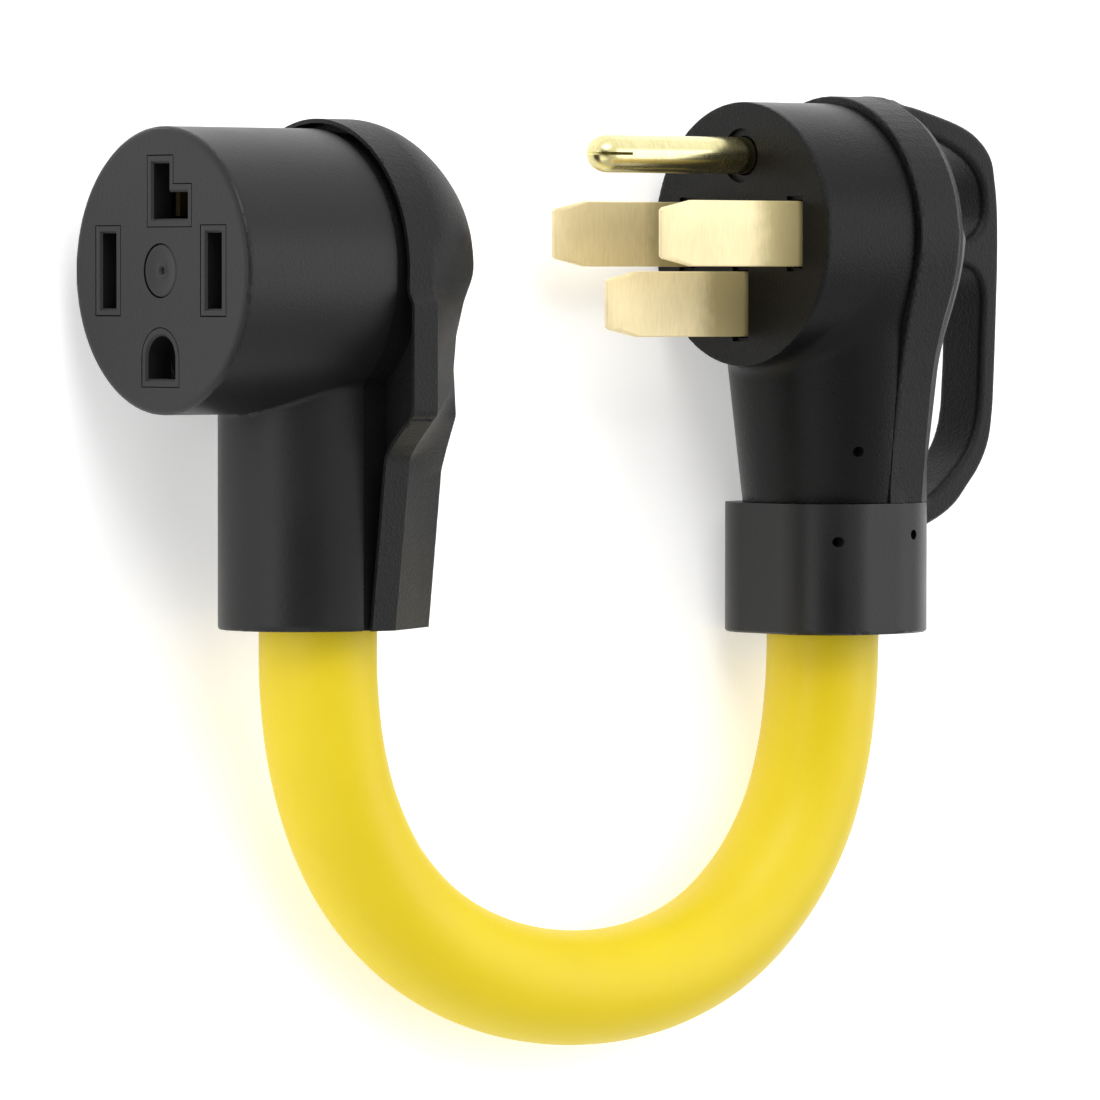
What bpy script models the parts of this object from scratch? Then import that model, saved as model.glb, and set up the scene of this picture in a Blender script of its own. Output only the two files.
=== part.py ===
"""Short shore-power adapter cord: a right-angle 50 A plug with a pull handle, a right-angle 30 A
four-wire socket, and the thick four-conductor cable between them. Metres, +Z up.

The cord lies on its side. Each connector is drawn in its own frame, held by an empty:
+X runs down the stem towards the cable, +Y goes back from the face, +Z is the connector's side.
"""
import math

import bmesh
import bpy
from mathutils import Matrix, Vector

MM = 0.001
GAP = 0.3 * MM                      # clearance between pieces that touch
WALL = 2.6 * MM                     # moulded wall
REACH = 1.0 * MM                    # how far a cutter runs past the face that it cuts
FAR = 90.0 * MM                     # past everything in a connector
ROUND_STEPS = 36                    # sides of the large round shapes
SMALL_STEPS = 20                    # sides of the small round shapes

# How the cord lies: the stems dip towards the floor and the middle of the cable rests on it
TILT = math.radians(6.5)
ASSEMBLY_PLACE = (-19.39 * MM, -111.4 * MM, 0.0)

# Cable
CABLE_RADIUS = 11.75 * MM
JACKET_WALL = 3.15 * MM
CORE_RADIUS = 3.2 * MM
CORE_OFFSET = 4.8 * MM
FILLER_RADIUS = 1.2 * MM
CABLE_POINTS = 32

# Socket (female, 30 A, four wires)
SOCKET_RADIUS = 28.2 * MM
SOCKET_PARTING = 36.7 * MM
SOCKET_STEM_AXIS = 38.9 * MM
SOCKET_STEM_END = 70.7 * MM
SOCKET_STEM_DEPTH = 21.0 * MM
SOCKET_STEM_WIDTH = 17.5 * MM
SOCKET_RIDGE = 44.0 * MM
SOCKET_BACK = 61.0 * MM
SOCKET_FLANGE_WIDTH = 31.5 * MM
SOCKET_FLANGE_CORNER = 28.0 * MM
SOCKET_FLANGE_RADIUS = 30.2 * MM
SOCKET_FLANGE_WALL = 1.4 * MM
SOCKET_STEM_TOP = 12.0 * MM
SOCKET_BUSHING_TOP = 49.0 * MM
SOCKET_FACE_WALL = 2.8 * MM
HOT_SPACING = 34.0 * MM
SOCKET_SLOT = (4.6 * MM, 14.7 * MM)
SOCKET_BOSS = (8.0 * MM, 17.5 * MM)
SOCKET_POCKET = 6.6 * MM
SOCKET_POCKET_FRONT = 5.0 * MM
NEUTRAL_TOP = -20.9 * MM
NEUTRAL_FOOT = -10.1 * MM
NEUTRAL_LIMB = 5.2 * MM
NEUTRAL_REACH = 8.5 * MM
GROUND_TOP = 12.7 * MM
GROUND_FLAT = 21.1 * MM
GROUND_WIDTH = 8.9 * MM
BOSS_MARGIN = 1.5 * MM
SOCKET_GROUND_AXIS = 17.2 * MM
SOCKET_NEUTRAL_AXIS = -15.5 * MM
RIVET_HEAD = 5.15 * MM
RIVET_SEAT = 1.6 * MM
RIVET_SHANK = 2.5 * MM
SOCKET_CARRIER_BACK = 21.0 * MM

# Plug (male, 50 A, four wires)
PLUG_RADIUS = 27.5 * MM
PLUG_FRONT_BACK = 24.3 * MM
PLUG_PARTING = 24.6 * MM
PLUG_STEM_AXIS = 25.7 * MM
PLUG_CABLE_AXIS = 23.0 * MM
PLUG_STEM_TOP = 8.0 * MM
PLUG_STEM_END = 55.9 * MM
PLUG_STEM_RADII = (24.2 * MM, 18.9 * MM)
PLUG_FACE_WALL = 3.0 * MM
BLADE_RECESS = (15.5 * MM, 5.0 * MM)
PIN_RECESS = 5.65 * MM
RECESS_DEPTH = 1.0 * MM
COLLAR_TOP = 56.2 * MM
COLLAR_END = 83.2 * MM
COLLAR_FRONT = 5.7 * MM
COLLAR_SIDE = 19.5 * MM
COLLAR_CENTRE = 26.1 * MM
COLLAR_BORE = 14.2 * MM
TONGUE_FRONT = 40.3 * MM
TONGUE_END = 62.0 * MM
BLADE_HEIGHT = 13.5 * MM
BLADE_THICKNESS = 2.0 * MM
BLADE_LENGTH = 36.5 * MM
BLADE_TIP_HEIGHT = 10.0 * MM
BLADE_TIP_LENGTH = 8.3 * MM
BLADE_TIP_THICKNESS = 0.9 * MM
BLADE_WEDGE = 2.4 * MM
NEUTRAL_BLADE_AXIS = 14.5 * MM
PIN_AXIS = -16.3 * MM
PIN_RADIUS = 3.85 * MM
PIN_LENGTH = 40.8 * MM
PIN_SLIT = (0.35 * MM, 8.0 * MM)
PLUG_CARRIER_BACK = 14.0 * MM
HANDLE_WIDTH = 13.0 * MM
PLUG_FLANGE_RADIUS = 29.0 * MM
PLUG_FLANGE_BACK = 33.0 * MM
MOULD_PIN_RADIUS = 1.05 * MM

# Each connector's face centre, measured in the assembly
SOCKET_PLACE = (0.0, 0.0, SOCKET_FLANGE_CORNER * math.sin(TILT) + SOCKET_FLANGE_WIDTH * math.cos(TILT))
PLUG_PLACE = (-8.55 * MM, 155.4 * MM, PLUG_FLANGE_RADIUS)

# The free cable from the socket's stem to the plug's collar: it dips to the floor and turns back
ROUTE = [
    (70.2, 38.9, 26.5), (82.2, 39.7, 24.4), (95.4, 42.6, 21.6), (108.6, 48.1, 18.7),
    (121.6, 57.4, 15.7), (133.2, 71.4, 13.4), (141.3, 89.5, 12.2), (144.8, 109.8, 11.85),
    (143.4, 130.2, 11.85), (136.9, 148.7, 11.9), (126.0, 162.9, 12.5), (112.9, 172.2, 13.8),
    (99.5, 176.6, 15.7), (86.4, 178.1, 17.9), (74.1, 178.4, 19.6),
]


def clear_scene():
    for item in list(bpy.data.objects):
        bpy.data.objects.remove(item, do_unlink=True)


def new_collection(name):
    collection = bpy.data.collections.new(name)
    bpy.context.scene.collection.children.link(collection)
    return collection


clear_scene()
PARTS = new_collection("shore_power_adapter_cord")
CUTTERS = new_collection("cutters")


def new_material(name, colour, roughness, metallic=0.0):
    material = bpy.data.materials.new(name)
    material.use_nodes = True
    shader = material.node_tree.nodes["Principled BSDF"]
    shader.inputs["Base Color"].default_value = (*colour, 1.0)
    shader.inputs["Roughness"].default_value = roughness
    shader.inputs["Metallic"].default_value = metallic
    return material


def new_empty(name, place, tilt=0.0, parent=None):
    empty = bpy.data.objects.new(name, None)
    empty.location = place
    empty.rotation_euler = (0.0, tilt, 0.0)
    empty.parent = parent
    PARTS.objects.link(empty)
    return empty


def new_object(name, data, parent, finish=None, collection=None):
    item = bpy.data.objects.new(name, data)
    item.parent = parent
    if finish:
        item.data.materials.append(finish)
    (collection or PARTS).objects.link(item)
    return item


def smooth(item, degrees=32.0):
    item.data.shade_smooth()
    item.data.set_sharp_from_angle(angle=math.radians(degrees))


def mesh_from(build, name):
    """Make a mesh from a bmesh that the function fills."""
    shape = bmesh.new()
    build(shape)
    bmesh.ops.recalc_face_normals(shape, faces=shape.faces)
    mesh = bpy.data.meshes.new(name)
    shape.to_mesh(mesh)
    shape.free()
    return mesh


def box(name, low, high):
    """A box between two corners."""
    low, high = Vector(low), Vector(high)
    size = high - low

    def build(shape):
        place = Matrix.Translation((low + high) / 2.0)
        bmesh.ops.create_cube(shape, size=1.0, matrix=place @ Matrix.Diagonal((*size, 1.0)))
    return mesh_from(build, name)


AXIS_TURN = {"X": Matrix.Rotation(math.pi / 2, 4, "Y"), "Y": Matrix.Rotation(-math.pi / 2, 4, "X"),
             "Z": Matrix.Identity(4)}


def rod(name, axis, start, end, centre, radii, steps=SMALL_STEPS, stretch=(1.0, 1.0)):
    """A cylinder or cone along an axis. The stretch makes its section an ellipse."""
    def along(value, across):
        """Three numbers in axis order: one for the rod's axis and two for the other axes."""
        numbers = list(across)
        numbers.insert("XYZ".index(axis), value)
        return numbers

    place = Matrix.Translation(along((start + end) / 2.0, centre))
    place = place @ Matrix.Diagonal((*along(1.0, stretch), 1.0))

    def build(shape):
        bmesh.ops.create_cone(shape, cap_ends=True, segments=steps, radius1=radii[0], radius2=radii[1],
                              depth=end - start, matrix=place @ AXIS_TURN[axis])
    return mesh_from(build, name)


OUTLINE_PLANES = {
    "XY": Matrix.Identity(4),
    "XZ": Matrix(((1, 0, 0, 0), (0, 0, -1, 0), (0, 1, 0, 0), (0, 0, 0, 1))),
    "YZ": Matrix(((0, 0, 1, 0), (1, 0, 0, 0), (0, 1, 0, 0), (0, 0, 0, 1))),
}
OUTLINE_NORMALS = {"XY": (0, 0, 1), "XZ": (0, 1, 0), "YZ": (1, 0, 0)}


def plate(name, plane, loops, start, end):
    """A flat outline, with holes if there is more than one loop, between two levels of its normal."""
    curve = bpy.data.curves.new(name, "CURVE")
    curve.dimensions = "2D"
    curve.fill_mode = "BOTH"
    curve.extrude = (end - start) / 2.0
    for loop in loops:
        spline = curve.splines.new("POLY")
        spline.points.add(len(loop) - 1)
        for point, (u, v) in zip(spline.points, loop):
            point.co = (u, v, 0.0, 1.0)
        spline.use_cyclic_u = True
    item = bpy.data.objects.new(name, curve)
    CUTTERS.objects.link(item)
    shift = Vector(OUTLINE_NORMALS[plane]) * ((start + end) / 2.0)
    item.matrix_world = Matrix.Translation(shift) @ OUTLINE_PLANES[plane]
    bpy.context.view_layer.update()
    seen = item.evaluated_get(bpy.context.evaluated_depsgraph_get())
    mesh = bpy.data.meshes.new_from_object(seen)
    mesh.transform(item.matrix_world)
    bpy.data.objects.remove(item, do_unlink=True)
    bpy.data.curves.remove(curve)
    shape = bmesh.new()
    shape.from_mesh(mesh)
    bmesh.ops.remove_doubles(shape, verts=shape.verts, dist=1e-6)
    bmesh.ops.recalc_face_normals(shape, faces=shape.faces)
    shape.to_mesh(mesh)
    shape.free()
    mesh.name = name
    return mesh


def turned(name, profile, centre, steps=ROUND_STEPS):
    """A solid turned about the Y axis from (radius, depth) points whose ends lie on the axis."""
    mesh = bpy.data.meshes.new(name)
    points = [(radius, depth, 0.0) for radius, depth in profile]
    mesh.from_pydata(points, [(i, i + 1) for i in range(len(points) - 1)], [])
    item = bpy.data.objects.new(name, mesh)
    CUTTERS.objects.link(item)
    screw = item.modifiers.new("turn", "SCREW")
    screw.axis = "Y"
    screw.steps = steps
    screw.render_steps = steps
    screw.use_merge_vertices = True
    screw.merge_threshold = 1e-6
    bpy.context.view_layer.update()
    seen = item.evaluated_get(bpy.context.evaluated_depsgraph_get())
    solid = bpy.data.meshes.new_from_object(seen)
    bpy.data.objects.remove(item, do_unlink=True)
    shape = bmesh.new()
    shape.from_mesh(solid)
    bmesh.ops.remove_doubles(shape, verts=shape.verts, dist=1e-6)
    bmesh.ops.dissolve_degenerate(shape, edges=shape.edges, dist=1e-7)
    bmesh.ops.translate(shape, verts=shape.verts, vec=(centre[0], 0.0, centre[1]))
    bmesh.ops.recalc_face_normals(shape, faces=shape.faces)
    shape.to_mesh(solid)
    shape.free()
    solid.name = name
    return solid


def loft(name, rings):
    """A closed skin through rings that have the same number of points."""
    def build(shape):
        rows = [[shape.verts.new(point) for point in ring] for ring in rings]
        count = len(rows[0])
        for low, high in zip(rows, rows[1:]):
            for i in range(count):
                j = (i + 1) % count
                shape.faces.new((low[i], low[j], high[j], high[i]))
        shape.faces.new(rows[0])
        shape.faces.new(rows[-1])
    return mesh_from(build, name)


def combine(item, operation, meshes):
    """Add or cut shapes, each as a Boolean modifier on the item."""
    for mesh in meshes:
        tool = new_object(f"{item.name}_{operation.lower()}_{mesh.name}", mesh, item.parent, None, CUTTERS)
        tool.hide_render = True
        tool.display_type = "WIRE"
        step = item.modifiers.new(mesh.name, "BOOLEAN")
        step.operation = operation
        step.object = tool
    return item


def add(item, *meshes):
    return combine(item, "UNION", meshes)


def cut(item, *meshes):
    return combine(item, "DIFFERENCE", meshes)


def arc(centre, radius, start, end, count):
    """Points on an arc, from one angle to another in degrees."""
    angles = [math.radians(start + (end - start) * i / (count - 1)) for i in range(count)]
    return [(centre[0] + radius * math.cos(a), centre[1] + radius * math.sin(a)) for a in angles]


def mirrored(half):
    """Close a half outline over the axis v = 0, leaving out points that lie on it."""
    return half + [(u, -v) for u, v in reversed(half) if abs(v) > 1e-9]


def inset(outline, distance):
    """Move each corner of an outline inwards, by the same wall on both sides."""
    count = len(outline)
    area = sum(outline[i][0] * outline[(i + 1) % count][1] - outline[(i + 1) % count][0] * outline[i][1]
               for i in range(count))
    turn = 1.0 if area > 0 else -1.0
    moved = []
    for i in range(count):
        here = Vector(outline[i])
        before = (here - Vector(outline[i - 1])).normalized()
        after = (Vector(outline[(i + 1) % count]) - here).normalized()
        normals = Vector((-before.y, before.x)) * turn, Vector((-after.y, after.x)) * turn
        middle = normals[0] + normals[1]
        moved.append(tuple(here + middle * (distance * 2.0 / middle.length_squared)))
    return moved


def ring_at(outline, depth):
    return [(x, depth, z) for x, z in outline]


BLACK_SMOOTH = new_material("black_pvc_smooth", (0.028, 0.029, 0.031), 0.42)
BLACK_GRAINED = new_material("black_pvc_grained", (0.030, 0.031, 0.033), 0.62)
BLACK_PHENOLIC = new_material("black_phenolic", (0.022, 0.022, 0.024), 0.5)
BLACK_RUBBER = new_material("black_rubber", (0.020, 0.020, 0.020), 0.75)
YELLOW_JACKET = new_material("yellow_jacket", (0.92, 0.72, 0.02), 0.5)
BRASS = new_material("brass", (0.86, 0.71, 0.40), 0.28, 1.0)
COPPER = new_material("tinned_copper", (0.72, 0.66, 0.60), 0.35, 1.0)
PAPER = new_material("filler_paper", (0.62, 0.50, 0.33), 0.9)
CORE_FINISHES = {
    "hot_x": new_material("insulation_black", (0.03, 0.03, 0.03), 0.45),
    "hot_y": new_material("insulation_red", (0.62, 0.03, 0.03), 0.45),
    "neutral": new_material("insulation_white", (0.82, 0.82, 0.80), 0.45),
    "ground": new_material("insulation_green", (0.03, 0.32, 0.07), 0.45),
}

ASSEMBLY = new_empty("assembly_frame", ASSEMBLY_PLACE)
SOCKET = new_empty("socket_frame", SOCKET_PLACE, TILT, ASSEMBLY)
PLUG = new_empty("plug_frame", PLUG_PLACE, TILT, ASSEMBLY)
SIDES = {"hot_x": 1.0, "hot_y": -1.0}


def hot_places():
    """The two hot contacts' centres on either face, along X and Z."""
    return {name: (0.0, side * HOT_SPACING / 2) for name, side in SIDES.items()}


# ---------------------------------------------------------------- socket

def rectangle(name, centre, size, start, end):
    """A block on the face: its centre and size are along X and Z, its levels along Y."""
    (x, z), (height, width) = centre, size
    return box(name, (x - height / 2, start, z - width / 2), (x + height / 2, end, z + width / 2))


def neutral_outline(margin):
    """The L-shaped slot, grown by a margin."""
    limb = NEUTRAL_LIMB / 2 + margin
    top, foot = NEUTRAL_TOP - margin, NEUTRAL_FOOT + margin
    knee = NEUTRAL_FOOT - NEUTRAL_LIMB - margin
    return [(top, -limb), (foot, -limb), (foot, NEUTRAL_REACH + margin), (knee, NEUTRAL_REACH + margin),
            (knee, limb), (top, limb)]


def ground_outline(margin):
    """The D-shaped slot, round towards the middle of the face, grown by a margin."""
    radius = GROUND_WIDTH / 2 + margin
    centre = GROUND_TOP + GROUND_WIDTH / 2
    flat = GROUND_FLAT + margin
    return [(flat, -radius)] + arc((centre, 0.0), radius, -90, -270, 11) + [(flat, radius)]


def socket_windows(margin, start, end):
    """The four boss shapes in the face: two hot slots, the neutral and the ground."""
    height, width = SOCKET_BOSS[1] + 2 * margin, SOCKET_BOSS[0] + 2 * margin
    shapes = [rectangle(f"boss_{name}", (0.0, side * HOT_SPACING / 2), (height, width), start, end)
              for name, side in SIDES.items()]
    shapes.append(plate("boss_neutral", "XZ", [neutral_outline(BOSS_MARGIN + margin)], start, end))
    shapes.append(plate("boss_ground", "XZ", [ground_outline(BOSS_MARGIN + margin)], start, end))
    return shapes


def make_socket_front_housing():
    edge = 1.0 * MM
    profile = [(0.0, 0.0), (SOCKET_RADIUS - edge, 0.0), (SOCKET_RADIUS - 0.3 * edge, 0.3 * edge),
               (SOCKET_RADIUS, edge), (SOCKET_RADIUS, SOCKET_PARTING), (0.0, SOCKET_PARTING)]
    item = new_object("socket_front_housing", turned("head", profile, (0, 0)), SOCKET, BLACK_SMOOTH)
    wide = SOCKET_STEM_WIDTH / SOCKET_STEM_DEPTH
    add(item, rod("stem", "X", SOCKET_STEM_TOP, SOCKET_STEM_END, (SOCKET_STEM_AXIS, 0.0),
                  (SOCKET_STEM_DEPTH,) * 2, ROUND_STEPS, (1.0, wide)))
    inner = SOCKET_STEM_DEPTH - WALL
    inner_wide = (SOCKET_STEM_WIDTH - WALL) / inner
    cut(item,
        box("parting", (-FAR, SOCKET_PARTING, -FAR), (FAR, FAR, FAR)),
        rod("head_cavity", "Y", SOCKET_FACE_WALL, SOCKET_PARTING + REACH, (0, 0),
            (SOCKET_RADIUS - WALL,) * 2, ROUND_STEPS),
        rod("stem_cavity", "X", 4 * MM, SOCKET_STEM_END + REACH, (SOCKET_STEM_AXIS, 0.0),
            (inner,) * 2, ROUND_STEPS, (1.0, inner_wide)),
        *socket_windows(GAP, -REACH, SOCKET_FACE_WALL + REACH),
        rod("rivet_seat", "Y", -REACH, RIVET_SEAT, (0, 0), (RIVET_HEAD + GAP,) * 2),
        rod("rivet_hole", "Y", RIVET_SEAT / 2, SOCKET_FACE_WALL + REACH, (0, 0), (RIVET_SHANK + GAP,) * 2))
    smooth(item)


def flange_outline():
    """The rear cover's edge at the parting plane: round at the top, wide shoulders, then a taper."""
    turn_point, radius = 4.0 * MM, SOCKET_FLANGE_RADIUS
    angle = math.degrees(math.acos(turn_point / radius))
    half = arc((0, 0), radius, 180, angle, 15)
    width = SOCKET_FLANGE_WIDTH
    half += [(6.5 * MM, width), (13.0 * MM, width), (19.5 * MM, width), (SOCKET_FLANGE_CORNER, width),
             (34.0 * MM, 25.0 * MM), (36.7 * MM, 22.8 * MM), (SOCKET_STEM_END, 18.2 * MM)]
    return mirrored(half)


def back_outline():
    """The rear cover's back: smaller, with waisted sides."""
    half = arc((0, 0), 22.3 * MM, 180, 88.7, 15)
    half += [(6.0 * MM, 19.2 * MM), (12.5 * MM, 16.7 * MM), (19.5 * MM, 15.8 * MM), (28.6 * MM, 16.8 * MM),
             (35.4 * MM, 13.8 * MM), (39.4 * MM, 12.2 * MM), (SOCKET_STEM_END, 8.2 * MM)]
    return mirrored(half)


def make_socket_rear_cover():
    front = SOCKET_PARTING + GAP
    flange, back = flange_outline(), back_outline()
    skin = loft("cover", [ring_at(flange, front), ring_at(flange, SOCKET_RIDGE),
                          ring_at(back, SOCKET_BACK)])
    item = new_object("socket_rear_cover", skin, SOCKET, BLACK_GRAINED)
    inner_flange, inner_back = inset(flange, SOCKET_FLANGE_WALL), inset(back, WALL)
    hollow = loft("hollow", [ring_at(inner_flange, front - REACH),
                             ring_at(inner_flange, SOCKET_RIDGE - REACH),
                             ring_at(inner_back, SOCKET_BACK - WALL)])
    inner = SOCKET_STEM_DEPTH - WALL
    inner_wide = (SOCKET_STEM_WIDTH - WALL) / inner
    cut(item, hollow, rod("stem_cavity", "X", SOCKET_BUSHING_TOP - REACH, SOCKET_STEM_END + REACH,
                          (SOCKET_STEM_AXIS, 0.0), (inner,) * 2, ROUND_STEPS, (1.0, inner_wide)))
    smooth(item, 20)


def make_contact_carrier():
    body = rod("carrier", "Y", SOCKET_FACE_WALL + GAP, SOCKET_CARRIER_BACK, (0, 0),
               (SOCKET_RADIUS - WALL - GAP,) * 2, ROUND_STEPS)
    item = new_object("contact_carrier", body, SOCKET, BLACK_PHENOLIC)
    add(item, *socket_windows(0.0, 0.0, 6 * MM))
    through = SOCKET_CARRIER_BACK + REACH
    front = SOCKET_POCKET_FRONT
    for name, side in SIDES.items():
        centre = (0.0, side * HOT_SPACING / 2)
        cut(item, rectangle(f"slot_{name}", centre, SOCKET_SLOT[::-1], -REACH, front + REACH),
            rectangle(f"pocket_{name}", centre, (15.4 * MM, SOCKET_POCKET), front, through))
    cut(item, plate("slot_neutral", "XZ", [neutral_outline(0.0)], -REACH, 12 * MM),
        rectangle("pocket_neutral", (SOCKET_NEUTRAL_AXIS, 0.0), (11.4 * MM, SOCKET_POCKET), front, through),
        plate("slot_ground", "XZ", [ground_outline(0.0)], -REACH, front + REACH),
        rod("pocket_ground", "Y", front, through, (SOCKET_GROUND_AXIS, 0.0), (4.4 * MM,) * 2),
        rod("rivet_hole", "Y", RIVET_SEAT / 2, through, (0, 0), (RIVET_SHANK + GAP,) * 2))
    smooth(item)


CRIMP_RADIUS = 4.4 * MM
TAIL_HEIGHT = 4.6 * MM
TAIL_THICKNESS = 1.6 * MM
SOCKET_TAIL_END = 26.4 * MM
PLUG_TAIL_END = 19.6 * MM


def spring_clip(name, x, z, height):
    """A folded brass clip: two leaves that pinch the blade, joined at the back, with a crimp tail."""
    half = [(6.0, 2.9), (10.5, 1.25), (13.5, 1.25), (17.0, 2.6), (19.6, 2.6)]
    inner = [(18.7, 1.7), (17.3, 1.7), (13.7, 0.35), (10.3, 0.35), (6.4, 2.1)]
    right = [(y * MM, w * MM) for y, w in half]
    inside = [(y * MM, w * MM) for y, w in inner]
    loop = right + [(y, -w) for y, w in reversed(right)]
    loop += [(y, -w) for y, w in reversed(inside)] + inside
    clip = plate("clip", "YZ", [[(y, w + z) for y, w in loop]], x - height / 2, x + height / 2)
    item = new_object(name, clip, SOCKET, BRASS)
    add(item, rectangle("tail", (x, z), (TAIL_HEIGHT, TAIL_THICKNESS), 19.0 * MM, SOCKET_TAIL_END))


def make_socket_contacts():
    for name, side in SIDES.items():
        spring_clip(f"socket_contact_{name}", 0.0, side * HOT_SPACING / 2, 13.5 * MM)
    spring_clip("socket_contact_neutral", SOCKET_NEUTRAL_AXIS, 0.0, 9.6 * MM)
    outer, bore = 3.9 * MM, 2.6 * MM
    profile = [(0.0, 17.5 * MM), (bore, 17.5 * MM), (bore, 7.5 * MM), (3.2 * MM, 6.0 * MM),
               (outer, 6.0 * MM), (outer, 19.5 * MM), (0.0, 19.5 * MM)]
    sleeve = turned("sleeve", profile, (SOCKET_GROUND_AXIS, 0.0), SMALL_STEPS)
    item = new_object("socket_contact_ground", sleeve, SOCKET, BRASS)
    add(item, rectangle("tail", (SOCKET_GROUND_AXIS, 0.0), (TAIL_HEIGHT, TAIL_THICKNESS),
                        19.0 * MM, SOCKET_TAIL_END))
    smooth(item)


def make_face_rivet():
    head_back, clinch = 1.3 * MM, SOCKET_CARRIER_BACK + GAP
    profile = [(0.0, 0.9 * MM), (1.1 * MM, 0.4 * MM), (3.1 * MM, 0.4 * MM), (3.4 * MM, 0.1 * MM),
               (RIVET_HEAD, 0.1 * MM), (RIVET_HEAD, head_back), (RIVET_SHANK, head_back),
               (RIVET_SHANK, clinch), (4.0 * MM, clinch), (3.4 * MM, clinch + 1.4 * MM),
               (0.0, clinch + 1.4 * MM)]
    smooth(new_object("face_rivet", turned("rivet", profile, (0, 0), SMALL_STEPS), SOCKET, BLACK_PHENOLIC))


def make_socket_cord_bushing():
    depth, width = SOCKET_STEM_DEPTH - WALL - GAP, SOCKET_STEM_WIDTH - WALL - GAP
    body = rod("bushing", "X", SOCKET_BUSHING_TOP, SOCKET_STEM_END - GAP, (SOCKET_STEM_AXIS, 0.0),
               (depth,) * 2, ROUND_STEPS, (1.0, width / depth))
    item = new_object("socket_cord_bushing", body, SOCKET, BLACK_RUBBER)
    cut(item, rod("bore", "X", SOCKET_BUSHING_TOP - REACH, SOCKET_STEM_END + REACH, (SOCKET_STEM_AXIS, 0.0),
                  (CABLE_RADIUS + GAP,) * 2, ROUND_STEPS))
    smooth(item)


# ---------------------------------------------------------------- plug

def blade_places():
    """Each flat blade's centre on the face, along X and Z."""
    return {**hot_places(), "neutral": (NEUTRAL_BLADE_AXIS, 0.0)}


def mould_pin(name, x, y, floor):
    """The round hole that a core pin leaves in a connector's +Z side, down to a level."""
    return rod(name, "Z", floor, FAR, (x, y), (MOULD_PIN_RADIUS,) * 2, 12)


def stem_radius(x):
    share = (x - PLUG_STEM_TOP) / (PLUG_STEM_END - PLUG_STEM_TOP)
    return PLUG_STEM_RADII[0] + (PLUG_STEM_RADII[1] - PLUG_STEM_RADII[0]) * share


def plug_stem(name, start, end, wall=0.0):
    """The tapered stem between two stations, or its hollow."""
    radii = (stem_radius(start) - wall, stem_radius(end) - wall)
    return rod(name, "X", start, end, (PLUG_STEM_AXIS, 0.0), radii, ROUND_STEPS)


def make_plug_front_body():
    edge = 1.0 * MM
    profile = [(0.0, 0.0), (PLUG_RADIUS - edge, 0.0), (PLUG_RADIUS - 0.3 * edge, 0.3 * edge),
               (PLUG_RADIUS, edge), (PLUG_RADIUS, PLUG_FRONT_BACK), (0.0, PLUG_FRONT_BACK)]
    item = new_object("plug_front_body", turned("head", profile, (0, 0)), PLUG, BLACK_SMOOTH)
    add(item, plug_stem("stem", PLUG_STEM_TOP, PLUG_STEM_END))
    cut(item,
        box("parting", (-FAR, PLUG_FRONT_BACK, -FAR), (FAR, FAR, FAR)),
        rod("head_cavity", "Y", PLUG_FACE_WALL, PLUG_FRONT_BACK + REACH, (0, 0),
            (PLUG_RADIUS - WALL,) * 2, ROUND_STEPS),
        plug_stem("stem_cavity", 2 * MM, PLUG_STEM_END + REACH, WALL))
    for name, centre in blade_places().items():
        cut(item, rectangle(f"recess_{name}", centre, BLADE_RECESS, -REACH, RECESS_DEPTH),
            rectangle(f"slot_{name}", centre, (BLADE_HEIGHT + 2 * GAP, BLADE_THICKNESS + 2 * GAP),
                      RECESS_DEPTH / 2, PLUG_FACE_WALL + REACH))
    cut(item, rod("pin_recess", "Y", -REACH, RECESS_DEPTH, (PIN_AXIS, 0), (PIN_RECESS,) * 2, 24),
        rod("pin_hole", "Y", RECESS_DEPTH / 2, PLUG_FACE_WALL + REACH, (PIN_AXIS, 0),
            (PIN_RADIUS + GAP,) * 2, 24),
        mould_pin("mould_pin", 45.1 * MM, 16.8 * MM, 16.6 * MM))
    smooth(item)


DOME = [(29.0, 33.0), (27.9, 36.9), (23.3, 41.1), (18.6, 45.0), (12.0, 48.0), (0.0, 49.6)]


def plug_flange_outline():
    """The rear cover's proud rim: round over the head, narrowing until it is flush with the stem."""
    half = arc((0, 0), PLUG_FLANGE_RADIUS, 180, 72, 22)
    half += [(16.0 * MM, 25.6 * MM), (24.0 * MM, 23.6 * MM), (33.0 * MM, 21.8 * MM),
             (43.0 * MM, 20.4 * MM), (PLUG_STEM_END - 0.5 * MM, 19.2 * MM)]
    return mirrored(half)


def arm_outlines():
    """The pull handle's side view, along X and Y: its outer edge, the small eye and the finger opening."""
    outer = [(-27.0, 32.0), (-27.2, 41.0), (-25.4, 49.0), (-23.0, 57.0), (-20.3, 61.9), (-16.4, 65.4),
             (-11.4, 66.6), (-5.0, 67.3), (5.0, 67.4), (29.0, 66.5), (37.0, 66.0), (43.4, 64.9),
             (48.6, 62.4), (53.2, 58.6), (57.3, 54.5), (60.4, 48.8), (61.8, 42.0), (52.0, 42.0),
             (52.0, 32.0)]
    eye = [(-20.6, 46.0), (-19.0, 52.0), (-16.2, 57.6), (-12.2, 61.6), (-7.0, 62.9), (-2.6, 62.2),
           (0.2, 59.4), (0.9, 56.0), (0.7, 49.0), (-10.0, 47.5), (-18.0, 44.0)]
    finger = [(6.2, 49.0), (6.6, 58.0), (8.6, 61.2), (12.6, 62.7), (28.0, 62.1), (36.0, 61.6),
              (41.4, 60.4), (46.0, 57.9), (50.0, 54.0), (53.4, 49.9), (55.2, 46.0), (55.2, 44.0),
              (45.0, 43.6), (33.0, 44.6), (22.0, 46.6)]
    return [[(x * MM, y * MM) for x, y in loop] for loop in (outer, eye, finger)]


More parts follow.
